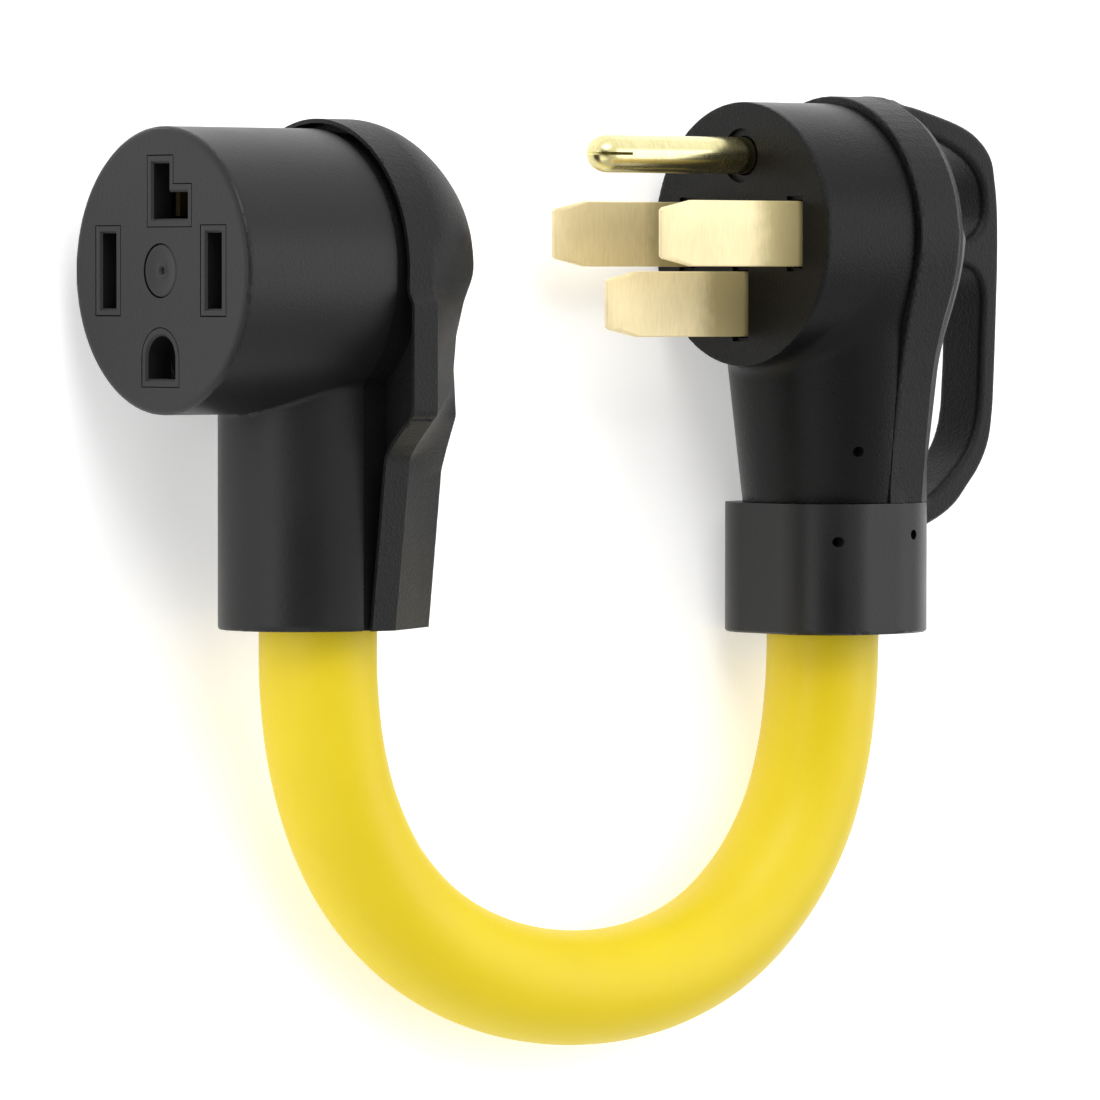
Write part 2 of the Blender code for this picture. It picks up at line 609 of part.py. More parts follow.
def collar_outline():
    """The collar's section, along Y and Z: flat in front, round behind."""
    corner = 9.0 * MM
    flat = COLLAR_SIDE - corner
    half = [(COLLAR_FRONT, 0.0)] + arc((COLLAR_FRONT + corner, flat), corner, 180, 90, 7)
    half += arc((COLLAR_CENTRE, 0.0), COLLAR_SIDE, 90, 0, 13)
    return mirrored(half)


def tongue_outline():
    """The part of the collar's section that belongs to the rear cover."""
    reach = math.degrees(math.acos((TONGUE_FRONT - COLLAR_CENTRE) / COLLAR_SIDE))
    return arc((COLLAR_CENTRE, 0.0), COLLAR_SIDE, -reach, reach, 13)


def make_plug_rear_cover():
    rim = plate("rim", "XZ", [plug_flange_outline()], PLUG_PARTING - REACH, PLUG_FLANGE_BACK)
    item = new_object("plug_rear_cover", rim, PLUG, BLACK_GRAINED)
    dome, slant = [(r * MM, y * MM) for r, y in DOME], 0.85
    shell = [(0.0, PLUG_PARTING + REACH), (dome[0][0], PLUG_PARTING + REACH)] + dome
    hollow = [(0.0, PLUG_PARTING - REACH), (dome[0][0] - WALL, PLUG_PARTING - REACH)]
    hollow += [(max(r - WALL, 0.0), y - WALL * slant) for r, y in dome]
    half_width = HANDLE_WIDTH / 2
    add(item, turned("dome", shell, (0, 0)),
        plug_stem("stem", PLUG_STEM_TOP, PLUG_STEM_END),
        plate("arm", "XY", arm_outlines(), -half_width, half_width),
        plate("tongue", "YZ", [tongue_outline()], 50 * MM, TONGUE_END))
    cut(item, box("parting", (-FAR, -FAR, -FAR), (FAR, PLUG_PARTING, FAR)),
        turned("head_cavity", hollow, (0, 0)),
        plug_stem("stem_cavity", 2 * MM, PLUG_STEM_END + REACH, WALL))
    smooth(item)


def make_plug_collar():
    item = new_object("plug_collar", plate("collar", "YZ", [collar_outline()], COLLAR_TOP, COLLAR_END),
                      PLUG, BLACK_SMOOTH)
    cut(item, rod("bore", "X", COLLAR_TOP - REACH, COLLAR_END + REACH, (PLUG_CABLE_AXIS, 0.0),
                  (COLLAR_BORE,) * 2, ROUND_STEPS),
        box("tongue_seat", (COLLAR_TOP - REACH, TONGUE_FRONT - GAP, -FAR), (TONGUE_END + GAP, FAR, FAR)),
        mould_pin("front_pin", 63.8 * MM, 11.8 * MM, 16.6 * MM),
        mould_pin("rear_pin", 62.6 * MM, 31.8 * MM, 16.8 * MM))
    smooth(item)


def make_plug_cord_bushing():
    body = rod("bushing", "X", COLLAR_TOP + GAP, COLLAR_END - GAP, (PLUG_CABLE_AXIS, 0.0),
               (COLLAR_BORE - GAP,) * 2, ROUND_STEPS)
    item = new_object("plug_cord_bushing", body, PLUG, BLACK_RUBBER)
    cut(item, rod("bore", "X", COLLAR_TOP - REACH, COLLAR_END + REACH, (PLUG_CABLE_AXIS, 0.0),
                  (CABLE_RADIUS + GAP,) * 2, ROUND_STEPS))
    smooth(item)


def make_blade_carrier():
    body = rod("carrier", "Y", PLUG_FACE_WALL + GAP, PLUG_CARRIER_BACK, (0, 0),
               (PLUG_RADIUS - WALL - GAP,) * 2, ROUND_STEPS)
    item = new_object("blade_carrier", body, PLUG, BLACK_PHENOLIC)
    for name, centre in blade_places().items():
        cut(item, rectangle(f"slot_{name}", centre, (BLADE_HEIGHT + 2 * GAP, BLADE_THICKNESS + 2 * GAP),
                            0.0, PLUG_CARRIER_BACK + REACH))
    cut(item, rod("pin_hole", "Y", 0.0, PLUG_CARRIER_BACK + REACH, (PIN_AXIS, 0),
                  (PIN_RADIUS + GAP,) * 2, 24))
    smooth(item)


def make_blades():
    """Flat blades with chamfered corners and a wedge tip, each narrowing to a crimp tail behind."""
    half, tip_half, tail = BLADE_HEIGHT / 2, BLADE_TIP_HEIGHT / 2, TAIL_HEIGHT / 2
    thick, thin = BLADE_THICKNESS / 2, BLADE_TIP_THICKNESS / 2
    tip, shoulder = -BLADE_LENGTH, BLADE_TIP_LENGTH - BLADE_LENGTH
    back = PLUG_CARRIER_BACK + 2 * GAP
    flare = (thick - thin) / BLADE_WEDGE
    for name, (x, z) in blade_places().items():
        side_view = [(x - half, back), (x - half, shoulder), (x - tip_half, tip + BLADE_WEDGE),
                     (x - tip_half, tip), (x + tip_half, tip), (x + tip_half, tip + BLADE_WEDGE),
                     (x + half, shoulder), (x + half, back), (x + tail, back), (x + tail, PLUG_TAIL_END),
                     (x - tail, PLUG_TAIL_END), (x - tail, back)]
        blade = plate("blade", "XY", [side_view], z - thick, z + thick)
        item = new_object(f"plug_blade_{name}", blade, PLUG, BRASS)
        for side, label in ((-1, "low"), (1, "high")):
            outer = z + side * (thick + REACH)
            wedge = [(tip - REACH, z + side * (thin - flare * REACH)),
                     (tip + BLADE_WEDGE, z + side * thick), (tip + BLADE_WEDGE, outer), (tip - REACH, outer)]
            cut(item, plate(f"wedge_{label}", "YZ", [wedge], x - half - REACH, x + half + REACH))


def make_ground_pin():
    radius, tip = PIN_RADIUS, PIN_LENGTH
    nose = arc((-tip + radius, 0.0), radius, 180, 90, 7)
    profile = [(0.0, PLUG_CARRIER_BACK + REACH), (radius, PLUG_CARRIER_BACK + REACH)]
    profile += [(r, y) for y, r in reversed(nose)]
    profile[-1] = (0.0, -tip)
    pin = turned("pin", profile, (PIN_AXIS, 0.0), 24)
    item = new_object("plug_ground_pin", pin, PLUG, BRASS)
    add(item, rectangle("tail", (PIN_AXIS, 0.0), (TAIL_HEIGHT, TAIL_THICKNESS),
                        PLUG_CARRIER_BACK, PLUG_TAIL_END))
    width, depth = PIN_SLIT
    cut(item, box("slit", (PIN_AXIS - width / 2, -tip - REACH, -radius - REACH),
                  (PIN_AXIS + width / 2, -tip + depth, radius + REACH)))
    smooth(item)


# ---------------------------------------------------------------- cable

def smooth_points(knots, count):
    """Points spaced along a centripetal Catmull-Rom curve through the knots."""
    knots, pieces = [Vector(k) for k in knots], 24
    ends = [knots[0] * 2 - knots[1]] + knots + [knots[-1] * 2 - knots[-2]]
    fine = []
    for a, b, c, d in zip(ends, ends[1:], ends[2:], ends[3:]):
        t1 = (b - a).length ** 0.5
        t2 = t1 + (c - b).length ** 0.5
        t3 = t2 + (d - c).length ** 0.5
        for i in range(pieces):
            t = t1 + (t2 - t1) * i / pieces
            p = a.lerp(b, t / t1), b.lerp(c, (t - t1) / (t2 - t1)), c.lerp(d, (t - t2) / (t3 - t2))
            q = p[0].lerp(p[1], t / t2), p[1].lerp(p[2], (t - t1) / (t3 - t1))
            fine.append(q[0].lerp(q[1], (t - t1) / (t2 - t1)))
    fine.append(knots[-1])
    steps = [0.0]
    for a, b in zip(fine, fine[1:]):
        steps.append(steps[-1] + (b - a).length)
    points, j = [], 0
    for i in range(count):
        goal = steps[-1] * i / (count - 1)
        while j < len(fine) - 2 and steps[j + 1] < goal:
            j += 1
        points.append(fine[j].lerp(fine[j + 1], (goal - steps[j]) / (steps[j + 1] - steps[j])))
    return points


def frame_matrix(place):
    """A connector's frame within the assembly."""
    return Matrix.Translation(place) @ Matrix.Rotation(TILT, 4, "Y")


SOCKET_MATRIX = frame_matrix(SOCKET_PLACE)
PLUG_MATRIX = frame_matrix(PLUG_PLACE)


def cable_centreline():
    """The jacket's middle line, from inside the socket's stem to inside the plug's stem."""
    start = [SOCKET_MATRIX @ Vector((x * MM, SOCKET_STEM_AXIS, 0.0)) for x in (50.0, 60.0)]
    end = [PLUG_MATRIX @ Vector((x * MM, PLUG_CABLE_AXIS, 0.0)) for x in (70.0, 58.0, 46.0)]
    free = [Vector(point) * MM for point in ROUTE]
    return smooth_points(start + free + end, CABLE_POINTS)


def tube(name, points, radius, resolution, finish, caps=True):
    curve = bpy.data.curves.new(name, "CURVE")
    curve.dimensions = "3D"
    curve.bevel_depth = radius
    curve.bevel_resolution = resolution
    curve.use_fill_caps = caps
    spline = curve.splines.new("POLY")
    spline.points.add(len(points) - 1)
    for knot, point in zip(spline.points, points):
        knot.co = (*point, 1.0)
    return new_object(name, curve, ASSEMBLY, finish)


def side_line(points, inward, upward):
    """A line beside the cable's middle line: inward is towards the inside of the bend."""
    up = Matrix.Rotation(TILT, 3, "Y") @ Vector((0, 0, 1))
    line = []
    for i, here in enumerate(points):
        along = (points[min(i + 1, len(points) - 1)] - points[max(i - 1, 0)]).normalized()
        across = up.cross(along).normalized()
        line.append(here + across * inward + along.cross(across) * upward)
    return line


SOCKET_LEADS = {
    "hot": [(0, 26.8, 17), (0, 32, 17), (3, 37.5, 16.4), (13, 41.2, 13.6), (28, 41.0, 9.0),
            (40, 39.4, 5.7)],
    "neutral": [(-15.5, 26.8, 0), (-15.5, 33, 0), (-12.5, 41, 0), (-4, 46.5, 0), (10, 48.5, 0),
                (26, 47.4, 0), (40, 44.8, 0)],
    "ground": [(17.2, 26.8, 0), (17.2, 29, 0), (17.4, 31.4, 0), (20.8, 35.8, 0), (28, 36.9, 0),
               (40, 34.8, 0)],
}
PLUG_LEADS = {
    "hot": [(0, 20.2, 17), (0, 26, 17), (3, 31.6, 16.4), (12, 34.3, 14.0), (26, 30, 9.2), (37, 25, 6.0)],
    "neutral": [(14.5, 20.2, 0), (14.5, 22.4, 0), (14.8, 25, 0), (18.4, 28.8, 0), (24.4, 28.8, 0),
                (31.4, 24.8, 0), (38.5, 19.8, 0)],
    "ground": [(-16.3, 20.2, 0), (-16.3, 28, 0), (-13, 35.5, 0), (-4, 39.8, 0), (10, 40.3, 0),
               (24, 37.4, 0), (34, 32.6, 0), (40.5, 29.0, 0)],
}
CORE_PLACES = {"hot_x": (0.0, 1.0), "hot_y": (0.0, -1.0), "neutral": (1.0, 0.0), "ground": (-1.0, 0.0)}


def lead(table, matrix, name):
    """A core's free end inside a connector, from its crimp to the jacket's mouth."""
    side = SIDES.get(name, 1.0)
    points = table["hot" if name in SIDES else name]
    return [matrix @ Vector((x * MM, y * MM, z * MM * side)) for x, y, z in points]


def make_cable():
    middle = cable_centreline()
    jacket = tube("cable_jacket", middle, CABLE_RADIUS, 4, YELLOW_JACKET, caps=False)
    wall = jacket.modifiers.new("wall", "SOLIDIFY")
    wall.thickness = JACKET_WALL
    wall.offset = -1.0
    wall.use_even_offset = True
    for name, (inward, upward) in CORE_PLACES.items():
        inside = side_line(middle, inward * CORE_OFFSET, upward * CORE_OFFSET)
        route = lead(SOCKET_LEADS, SOCKET_MATRIX, name) + inside + lead(PLUG_LEADS, PLUG_MATRIX, name)[::-1]
        start, end = len(SOCKET_LEADS["hot" if name in SIDES else name]), len(inside)
        head = smooth_points(route[:start + 1], 9)
        tail = smooth_points(route[start + end - 1:], 9)
        tube(f"cable_core_{name}", head[:-1] + inside + tail[1:], CORE_RADIUS, 2, CORE_FINISHES[name])
    tube("cable_filler", middle, FILLER_RADIUS, 2, PAPER)


def make_crimps(prefix, parent, start, end, places):
    """One crimp ferrule for each core, round a contact's tail and the core's end."""
    bore = CORE_RADIUS + GAP + 0.1 * MM
    for name, centre in places.items():
        body = rod("ferrule", "Y", start, end, centre, (CRIMP_RADIUS,) * 2, 18)
        item = new_object(f"{prefix}_crimp_{name}", body, parent, COPPER)
        cut(item, rod("bore", "Y", start - REACH, end + REACH, centre, (bore,) * 2, 18))
        smooth(item)


make_socket_front_housing()
make_socket_rear_cover()
make_contact_carrier()
make_socket_contacts()
make_face_rivet()
make_socket_cord_bushing()
make_plug_front_body()
make_plug_rear_cover()
make_plug_collar()
make_plug_cord_bushing()
make_blade_carrier()
make_blades()
make_ground_pin()
make_cable()
make_crimps("socket", SOCKET, SOCKET_CARRIER_BACK + 0.8 * MM, 30 * MM,
            {**hot_places(), "neutral": (SOCKET_NEUTRAL_AXIS, 0.0), "ground": (SOCKET_GROUND_AXIS, 0.0)})
make_crimps("plug", PLUG, PLUG_CARRIER_BACK + 1.4 * MM, 23 * MM,
            {**blade_places(), "ground": (PIN_AXIS, 0.0)})
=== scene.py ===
"""Looks of the shore power adapter cord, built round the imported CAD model. Metres, +Z up.

The moulded pieces are skins of distance fields, written in each connector's own frame in millimetres:
x runs down the stem to the cable, y goes back from the face and z is the connector's side.
"""
import math

import bmesh
import bpy
import numpy as np
from mathutils import Matrix, Vector


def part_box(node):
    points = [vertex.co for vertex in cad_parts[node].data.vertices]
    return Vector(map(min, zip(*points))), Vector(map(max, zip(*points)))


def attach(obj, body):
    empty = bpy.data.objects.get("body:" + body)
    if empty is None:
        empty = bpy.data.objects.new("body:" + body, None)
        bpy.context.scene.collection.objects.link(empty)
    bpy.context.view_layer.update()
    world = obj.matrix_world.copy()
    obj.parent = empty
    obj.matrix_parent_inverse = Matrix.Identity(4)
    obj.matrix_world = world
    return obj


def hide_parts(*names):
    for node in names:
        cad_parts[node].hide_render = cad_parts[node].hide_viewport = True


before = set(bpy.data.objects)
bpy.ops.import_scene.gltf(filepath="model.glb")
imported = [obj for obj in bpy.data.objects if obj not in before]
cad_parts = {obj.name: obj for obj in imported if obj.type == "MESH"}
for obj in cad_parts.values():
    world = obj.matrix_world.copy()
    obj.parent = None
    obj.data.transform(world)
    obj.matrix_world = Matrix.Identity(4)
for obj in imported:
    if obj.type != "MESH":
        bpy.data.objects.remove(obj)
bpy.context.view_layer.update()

MM = 0.001
GAP = 0.3                   # between pieces that touch
TILT = math.radians(6.5)    # of both connectors, about Y


# ---------------------------------------------------------------- places read from the frame

def axis_place(round_node, face_node):
    """A connector's face centre: a round node gives the axis, and another gives the face's level."""
    low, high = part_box(round_node)
    return Vector(((low.x + high.x) / 2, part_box(face_node)[0].y, (low.z + high.z) / 2))


SOCKET_PLACE = axis_place("face_rivet", "socket_front_housing")
PLUG_PLACE = axis_place("blade_carrier", "plug_front_body")
SOCKET_MATRIX = Matrix.Translation(SOCKET_PLACE) @ Matrix.Rotation(TILT, 4, "Y")
PLUG_MATRIX = Matrix.Translation(PLUG_PLACE) @ Matrix.Rotation(TILT, 4, "Y")
SOCKET_RADIUS = (SOCKET_PLACE.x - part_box("socket_front_housing")[0].x) / MM
PLUG_RADIUS = (PLUG_PLACE.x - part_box("plug_front_body")[0].x) / MM
SOCKET_PARTING = (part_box("socket_front_housing")[1].y - SOCKET_PLACE.y) / MM
SOCKET_BACK = (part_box("socket_rear_cover")[1].y - SOCKET_PLACE.y) / MM
PLUG_PARTING = (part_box("plug_front_body")[1].y - PLUG_PLACE.y) / MM
HANDLE_OUTER = (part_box("plug_rear_cover")[1].y - PLUG_PLACE.y) / MM

# Both connectors. An axis here is how far a stem's or the cable's middle line lies behind the face.
HOT_SPACING = 34.0
CABLE_RADIUS = 11.75
WALL = 2.6

# The socket's stem is an ellipse in section. Its rear cover has a flange that ends in a ridge.
SOCKET_STEM_AXIS = 38.9
SOCKET_STEM_START, SOCKET_STEM_END = 10.0, 70.7
SOCKET_BORE_START = 4.0
SOCKET_STEM_HALF_DEPTH = 21.0
SOCKET_STEM_HALF_WIDTH = 17.5
SOCKET_FLANGE = 38.2
SOCKET_RIDGE = 44.0

# The plug's stem is a cone. The cable leaves it a little in front of the cone's middle.
PLUG_STEM_AXIS = 25.7
PLUG_CABLE_AXIS = 23.0
PLUG_STEM_TOP, PLUG_STEM_END = 8.0, 55.9
PLUG_STEM_RADII = (24.2, 18.9)
PLUG_BORE_START = 2.0
COLLAR_TOP, COLLAR_END = 56.2, 83.2
COLLAR_BORE = 14.2


# ---------------------------------------------------------------- camera

def make_camera():
    """A long lens from the side of the faces, rolled so that the stems hang down the picture."""
    target = Vector((36.1, -6.0, 20.0)) * MM
    elevation, azimuth, roll = math.radians(50.14), math.radians(4.83), math.radians(-4.11)
    distance = 1.6216
    back = Vector((math.cos(elevation) * math.sin(azimuth), -math.cos(elevation) * math.cos(azimuth),
                   math.sin(elevation)))
    up = (Vector((-1, 0, 0)) + back * back.x).normalized()
    right = up.cross(back)
    turn = Matrix.Rotation(roll, 3, back)
    right, up = turn @ right, turn @ up
    camera = bpy.data.objects.new("camera", bpy.data.cameras.new("camera"))
    camera.data.lens = 260.0
    camera.data.clip_end = 20.0
    pose = Matrix((right, up, back)).transposed().to_4x4()
    camera.matrix_world = Matrix.Translation(target + back * distance) @ pose
    bpy.context.scene.collection.objects.link(camera)
    bpy.context.scene.camera = camera


make_camera()


# ---------------------------------------------------------------- materials

FINISH = "_finish"


class Nodes:
    """A short way to write a node tree."""

    def __init__(self, name):
        self.material = bpy.data.materials.new(name + FINISH)
        self.material.use_nodes = True
        self.tree = self.material.node_tree
        self.shader = self.tree.nodes["Principled BSDF"]
        self.place = self.tree.nodes.new("ShaderNodeTexCoord").outputs["Object"]

    def add(self, kind, values=None, **settings):
        """A node with its settings, and then its inputs by name or number."""
        node = self.tree.nodes.new(kind)
        for key, value in settings.items():
            setattr(node, key, value)
        for key, value in (values or {}).items():
            self.put(node.inputs[key], value)
        return node

    def put(self, socket, value):
        """Link an input to another node's output, or give it a value."""
        if isinstance(value, bpy.types.NodeSocket):
            self.tree.links.new(value, socket)
        else:
            socket.default_value = value

    def noise(self, scale, detail=2.0, roughness=0.5, place=None):
        values = {"Scale": scale, "Detail": detail, "Roughness": roughness, "Vector": place or self.place}
        return self.add("ShaderNodeTexNoise", values).outputs["Fac"]

    def cells(self, scale, place=None):
        return self.add("ShaderNodeTexVoronoi", {"Scale": scale, "Vector": place or self.place},
                        feature="SMOOTH_F1").outputs["Distance"]

    def stretch(self, scale):
        """Coordinates along the connectors' own axes, each scaled by its own amount."""
        level = self.add("ShaderNodeMapping", {"Vector": self.place, "Rotation": (0.0, -TILT, 0.0)})
        level = level.outputs["Vector"]
        return self.add("ShaderNodeMapping", {"Vector": level, "Scale": scale}).outputs["Vector"]

    def span(self, value, low, high, start=0.0, end=1.0):
        values = {"Value": value, "From Min": start, "From Max": end, "To Min": low, "To Max": high}
        return self.add("ShaderNodeMapRange", values).outputs["Result"]

    def sum(self, a, b, factor=1.0):
        scaled = self.add("ShaderNodeMath", {0: b, 1: factor}, operation="MULTIPLY").outputs[0]
        return self.add("ShaderNodeMath", {0: a, 1: scaled}, operation="ADD").outputs[0]

    def blend(self, factor, first, second):
        """From one colour to another: the mix node's colour inputs are numbers 6 and 7."""
        values = {0: factor, 6: (*first, 1.0), 7: (*second, 1.0)}
        return self.add("ShaderNodeMix", values, data_type="RGBA").outputs[2]

    def bump(self, height, distance, strength=1.0):
        values = {"Height": height, "Distance": distance, "Strength": strength}
        self.put(self.shader.inputs["Normal"], self.add("ShaderNodeBump", values).outputs["Normal"])

    def set(self, **values):
        for key, value in values.items():
            self.put(self.shader.inputs[key.replace("_", " ")], value)


def moulded_black(name, dark, light, roughness, grain_scale, grain_depth, specular):
    """Black PVC with a sparked grain, faint flow marks and a slightly uneven gloss."""
    n = Nodes(name)
    flow = n.noise(28.0, 3.0, 0.6)
    grain = n.noise(grain_scale, 2.0, 0.6)
    pits = n.cells(grain_scale * 0.55)
    n.set(Base_Color=n.blend(n.span(flow, 0.0, 1.0, 0.35, 0.7), dark, light),
          Roughness=n.span(n.sum(flow, grain, 0.35), roughness[0], roughness[1], 0.4, 0.9),
          Specular_IOR_Level=specular)
    n.bump(n.sum(grain, pits, -0.6), grain_depth)
    return n.material


def brass(name, dark, light, roughness, stretch, tarnish=0.35, metallic=1.0, root=None):
    """Drawn brass: fine lines along one way, dulled patches, and painted shade that darkens the root from a
    depth onwards.
    """
    n = Nodes(name)
    lines = n.noise(1.0, 3.0, 0.7, n.stretch(stretch))
    patches = n.noise(90.0, 3.0, 0.6)
    tone = n.sum(n.span(patches, 0.0, tarnish, 0.45, 0.75), lines, 0.35)
    # Painted shade: past the given depth the brass darkens, where the dark face that it enters shades it and
    # is reflected in it.
    if root is not None:
        depth = n.add("ShaderNodeSeparateXYZ", {0: n.place}).outputs["Y"]
        painted_shade_depth = n.sum(depth, n.noise(160.0, 3.0, 0.6), 0.006)
        tone = n.sum(tone, n.span(painted_shade_depth, 0.0, 0.9, root + 0.003, root + 0.012))
    n.set(Base_Color=n.blend(n.span(tone, 0.0, 1.0, 0.15, 0.75), light, dark), Metallic=metallic,
          Roughness=n.span(n.sum(patches, lines, 0.6), roughness[0], roughness[1], 0.5, 1.1))
    n.bump(lines, 0.00001, 0.5)
    return n.material


def soft_plastic(name, dark, light, roughness, depth=0.00003):
    """Extruded insulation or rubber: a faint orange peel and slow changes of tone."""
    n = Nodes(name)
    slow = n.noise(35.0, 2.0, 0.5)
    peel = n.noise(900.0, 2.0, 0.5)
    n.set(Base_Color=n.blend(n.span(slow, 0.0, 1.0, 0.35, 0.7), dark, light),
          Roughness=n.span(slow, roughness[0], roughness[1], 0.3, 0.7))
    n.bump(peel, depth)
    return n.material


def yellow_jacket_material():
    """Yellow cable jacket: satin, with a fine peel, faint draw lines and the odd scuff."""
    n = Nodes("yellow_jacket")
    slow = n.noise(22.0, 3.0, 0.55)
    peel = n.noise(1100.0, 2.0, 0.6)
    scuffs = n.noise(260.0, 4.0, 0.7)
    n.set(Base_Color=n.blend(n.span(slow, 0.0, 1.0, 0.3, 0.75), (0.70, 0.52, 0.002), (0.76, 0.59, 0.003)),
          Roughness=n.span(n.sum(slow, scuffs, 0.5), 0.36, 0.56, 0.5, 1.0), Specular_IOR_Level=0.4)
    n.bump(n.sum(peel, scuffs, 0.5), 0.00003)
    return n.material


BLACK_SMOOTH = moulded_black("black_pvc_smooth", (0.0060, 0.0062, 0.0066), (0.0084, 0.0086, 0.0091),
                             (0.31, 0.43), 2600.0, 0.00003, 0.31)
BLACK_FINE = moulded_black("black_pvc_fine_grain", (0.0036, 0.0038, 0.0040), (0.0056, 0.0058, 0.0061),
                           (0.22, 0.34), 3200.0, 0.00007, 0.15)
BLACK_GRAINED = moulded_black("black_pvc_grained", (0.0046, 0.0048, 0.0051), (0.0074, 0.0076, 0.0080),
                              (0.34, 0.48), 2900.0, 0.00013, 0.21)
BLACK_CARRIER = moulded_black("black_carrier", (0.0068, 0.0070, 0.0074), (0.0090, 0.0092, 0.0097),
                              (0.40, 0.52), 2600.0, 0.00003, 0.34)
BLACK_RUBBER = soft_plastic("black_rubber", (0.008, 0.008, 0.008), (0.014, 0.014, 0.014), (0.6, 0.8))
YELLOW = yellow_jacket_material()
# The last value places the painted shade on the blades, which darkens them over the last 10 mm before the
# face.
BLADE_BRASS = brass("blade_brass", (0.55, 0.46, 0.22), (0.97, 0.82, 0.48), (0.44, 0.56),
                    (220.0, 1500.0, 220.0), 0.1, 0.2, PLUG_PLACE.y - 0.013)
# The contacts are painted near-black, as painted shade of the slots they sit in, in place of the brass's own
# colour.
CONTACT_BRASS_PAINTED_SHADE = brass("contact_brass_painted_shade", (0.010, 0.008, 0.005), (0.026, 0.019, 0.010), (0.5, 0.7),
                      (900.0, 900.0, 900.0))
PIN_BRASS = brass("pin_brass", (0.50, 0.42, 0.16), (0.85, 0.78, 0.42), (0.14, 0.30),
                  (300.0, 2200.0, 300.0))
TINNED = brass("tinned_copper", (0.45, 0.40, 0.36), (0.75, 0.70, 0.66), (0.25, 0.45),
               (900.0, 900.0, 900.0))
PAPER = soft_plastic("filler_paper", (0.45, 0.34, 0.20), (0.66, 0.53, 0.36), (0.8, 0.95), 0.0001)
INSULATION = {
    "hot_x": soft_plastic("insulation_black", (0.02, 0.02, 0.02), (0.03, 0.03, 0.03), (0.4, 0.55)),
    "hot_y": soft_plastic("insulation_red", (0.50, 0.02, 0.02), (0.62, 0.03, 0.03), (0.4, 0.55)),
    "neutral": soft_plastic("insulation_white", (0.74, 0.74, 0.72), (0.84, 0.84, 0.82), (0.4, 0.55)),
    "ground": soft_plastic("insulation_green", (0.02, 0.26, 0.05), (0.03, 0.34, 0.08), (0.4, 0.55)),
}


# ---------------------------------------------------------------- distance fields, in millimetres

def meet(a, b, r=0.0):
    """What lies in both, its edge rounded to a radius."""
    return np.minimum(-r, np.maximum(a, b)) + np.hypot(np.maximum(a + r, 0.0), np.maximum(b + r, 0.0))


def join(a, b, r=0.0):
    """What lies in either, the corner between them filled to a radius."""
    return -meet(-a, -b, r)


def carve(a, b, r=0.0):
    """The first without the second, its edge rounded to a radius."""
    return meet(a, -b, r)


def melt(a, b, reach):
    """A soft union, as in a sculpted mould."""
    share = np.clip(0.5 + 0.5 * (b - a) / reach, 0.0, 1.0)
    return b + (a - b) * share - reach * share * (1.0 - share)


def slab(value, low, high):
    """Between two levels."""
    return np.maximum(low - value, value - high)


def box_field(u, v, centre, half):
    """A rectangle in two coordinates."""
    return meet(np.abs(u - centre[0]) - half[0], np.abs(v - centre[1]) - half[1])


def ellipse(u, v, half_u, half_v):
    """Close to the distance from an ellipse about the origin."""
    ratio = np.hypot(u / half_u, v / half_v)
    return ratio * (ratio - 1.0) / np.maximum(np.hypot(u / half_u ** 2, v / half_v ** 2), 1e-6)


def outline(u, v, loop):
    """Distance from a closed outline, negative inside it."""
    shape = np.broadcast(u, v).shape
    nearest, inside = np.full(shape, np.inf), np.zeros(shape, bool)
    for (u0, v0), (u1, v1) in zip(loop, loop[1:] + loop[:1]):
        du, dv = u1 - u0, v1 - v0
        along = np.clip(((u - u0) * du + (v - v0) * dv) / (du * du + dv * dv), 0.0, 1.0)
        nearest = np.minimum(nearest, (u - u0 - along * du) ** 2 + (v - v0 - along * dv) ** 2)
        if dv:
            inside ^= ((v0 > v) != (v1 > v)) & (u < u0 + du * (v - v0) / dv)
    return np.where(inside, -1.0, 1.0) * np.sqrt(nearest)


def arc(centre, radius, start, end, count):
    """Points on an arc, from one angle to another in degrees."""
    angles = np.radians(np.linspace(start, end, count))
    return [(centre[0] + radius * math.cos(a), centre[1] + radius * math.sin(a)) for a in angles]


def mirrored(half):
    """Close a half outline over the axis v = 0."""
    return half + [(u, -v) for u, v in reversed(half) if abs(v) > 1e-9]


def eased(points, pieces):
    """A closed loop through the points as a smooth curve."""
    knots = np.array(points)
    t = np.linspace(0.0, 1.0, pieces, endpoint=False)[:, None]
    loop = []
    for a, b, c, d in zip(np.roll(knots, 1, 0), knots, np.roll(knots, -1, 0), np.roll(knots, -2, 0)):
        loop.extend(0.5 * (2 * b + (c - a) * t + (2 * a - 5 * b + 4 * c - d) * t ** 2
                           + (3 * b - a - 3 * c + d) * t ** 3))
    return [tuple(p) for p in loop]


def filleted(corners, steps):
    """A closed outline whose corners (u, v, radius) are each turned into an arc of so many points."""
    least, most = 0.2, 0.45
    loop = []
    for i, (u, v, radius) in enumerate(corners):
        here = Vector((u, v))
        back = Vector(corners[i - 1][:2]) - here
        ahead = Vector(corners[(i + 1) % len(corners)][:2]) - here
        half_turn = (math.pi - back.angle(ahead)) / 2.0
        reach = max(radius * math.tan(half_turn), least)
        reach = min(reach, back.length * most, ahead.length * most)
        start, end = here + back.normalized() * reach, here + ahead.normalized() * reach
        for t in np.linspace(0.0, 1.0, steps):
            loop.append(tuple(start.lerp(here, t).lerp(here.lerp(end, t), t)))
    return loop


# ---------------------------------------------------------------- skins of fields

CORNERS = [(i, j, k) for i in (0, 1) for j in (0, 1) for k in (0, 1)]
EDGES = [(np.array(a), np.array(b)) for a in CORNERS for b in CORNERS
         if sum(b) - sum(a) == 1 and all(q >= p for p, q in zip(a, b))]


def slope(field, points):
    """The field's gradient at points, by central differences."""
    nudge = 0.01
    parts = []
    for axis in range(3):
        offset = np.zeros(3)
        offset[axis] = nudge
        parts.append((field(*(points + offset).T) - field(*(points - offset).T)) / (2 * nudge))
    return np.stack(parts, axis=-1)


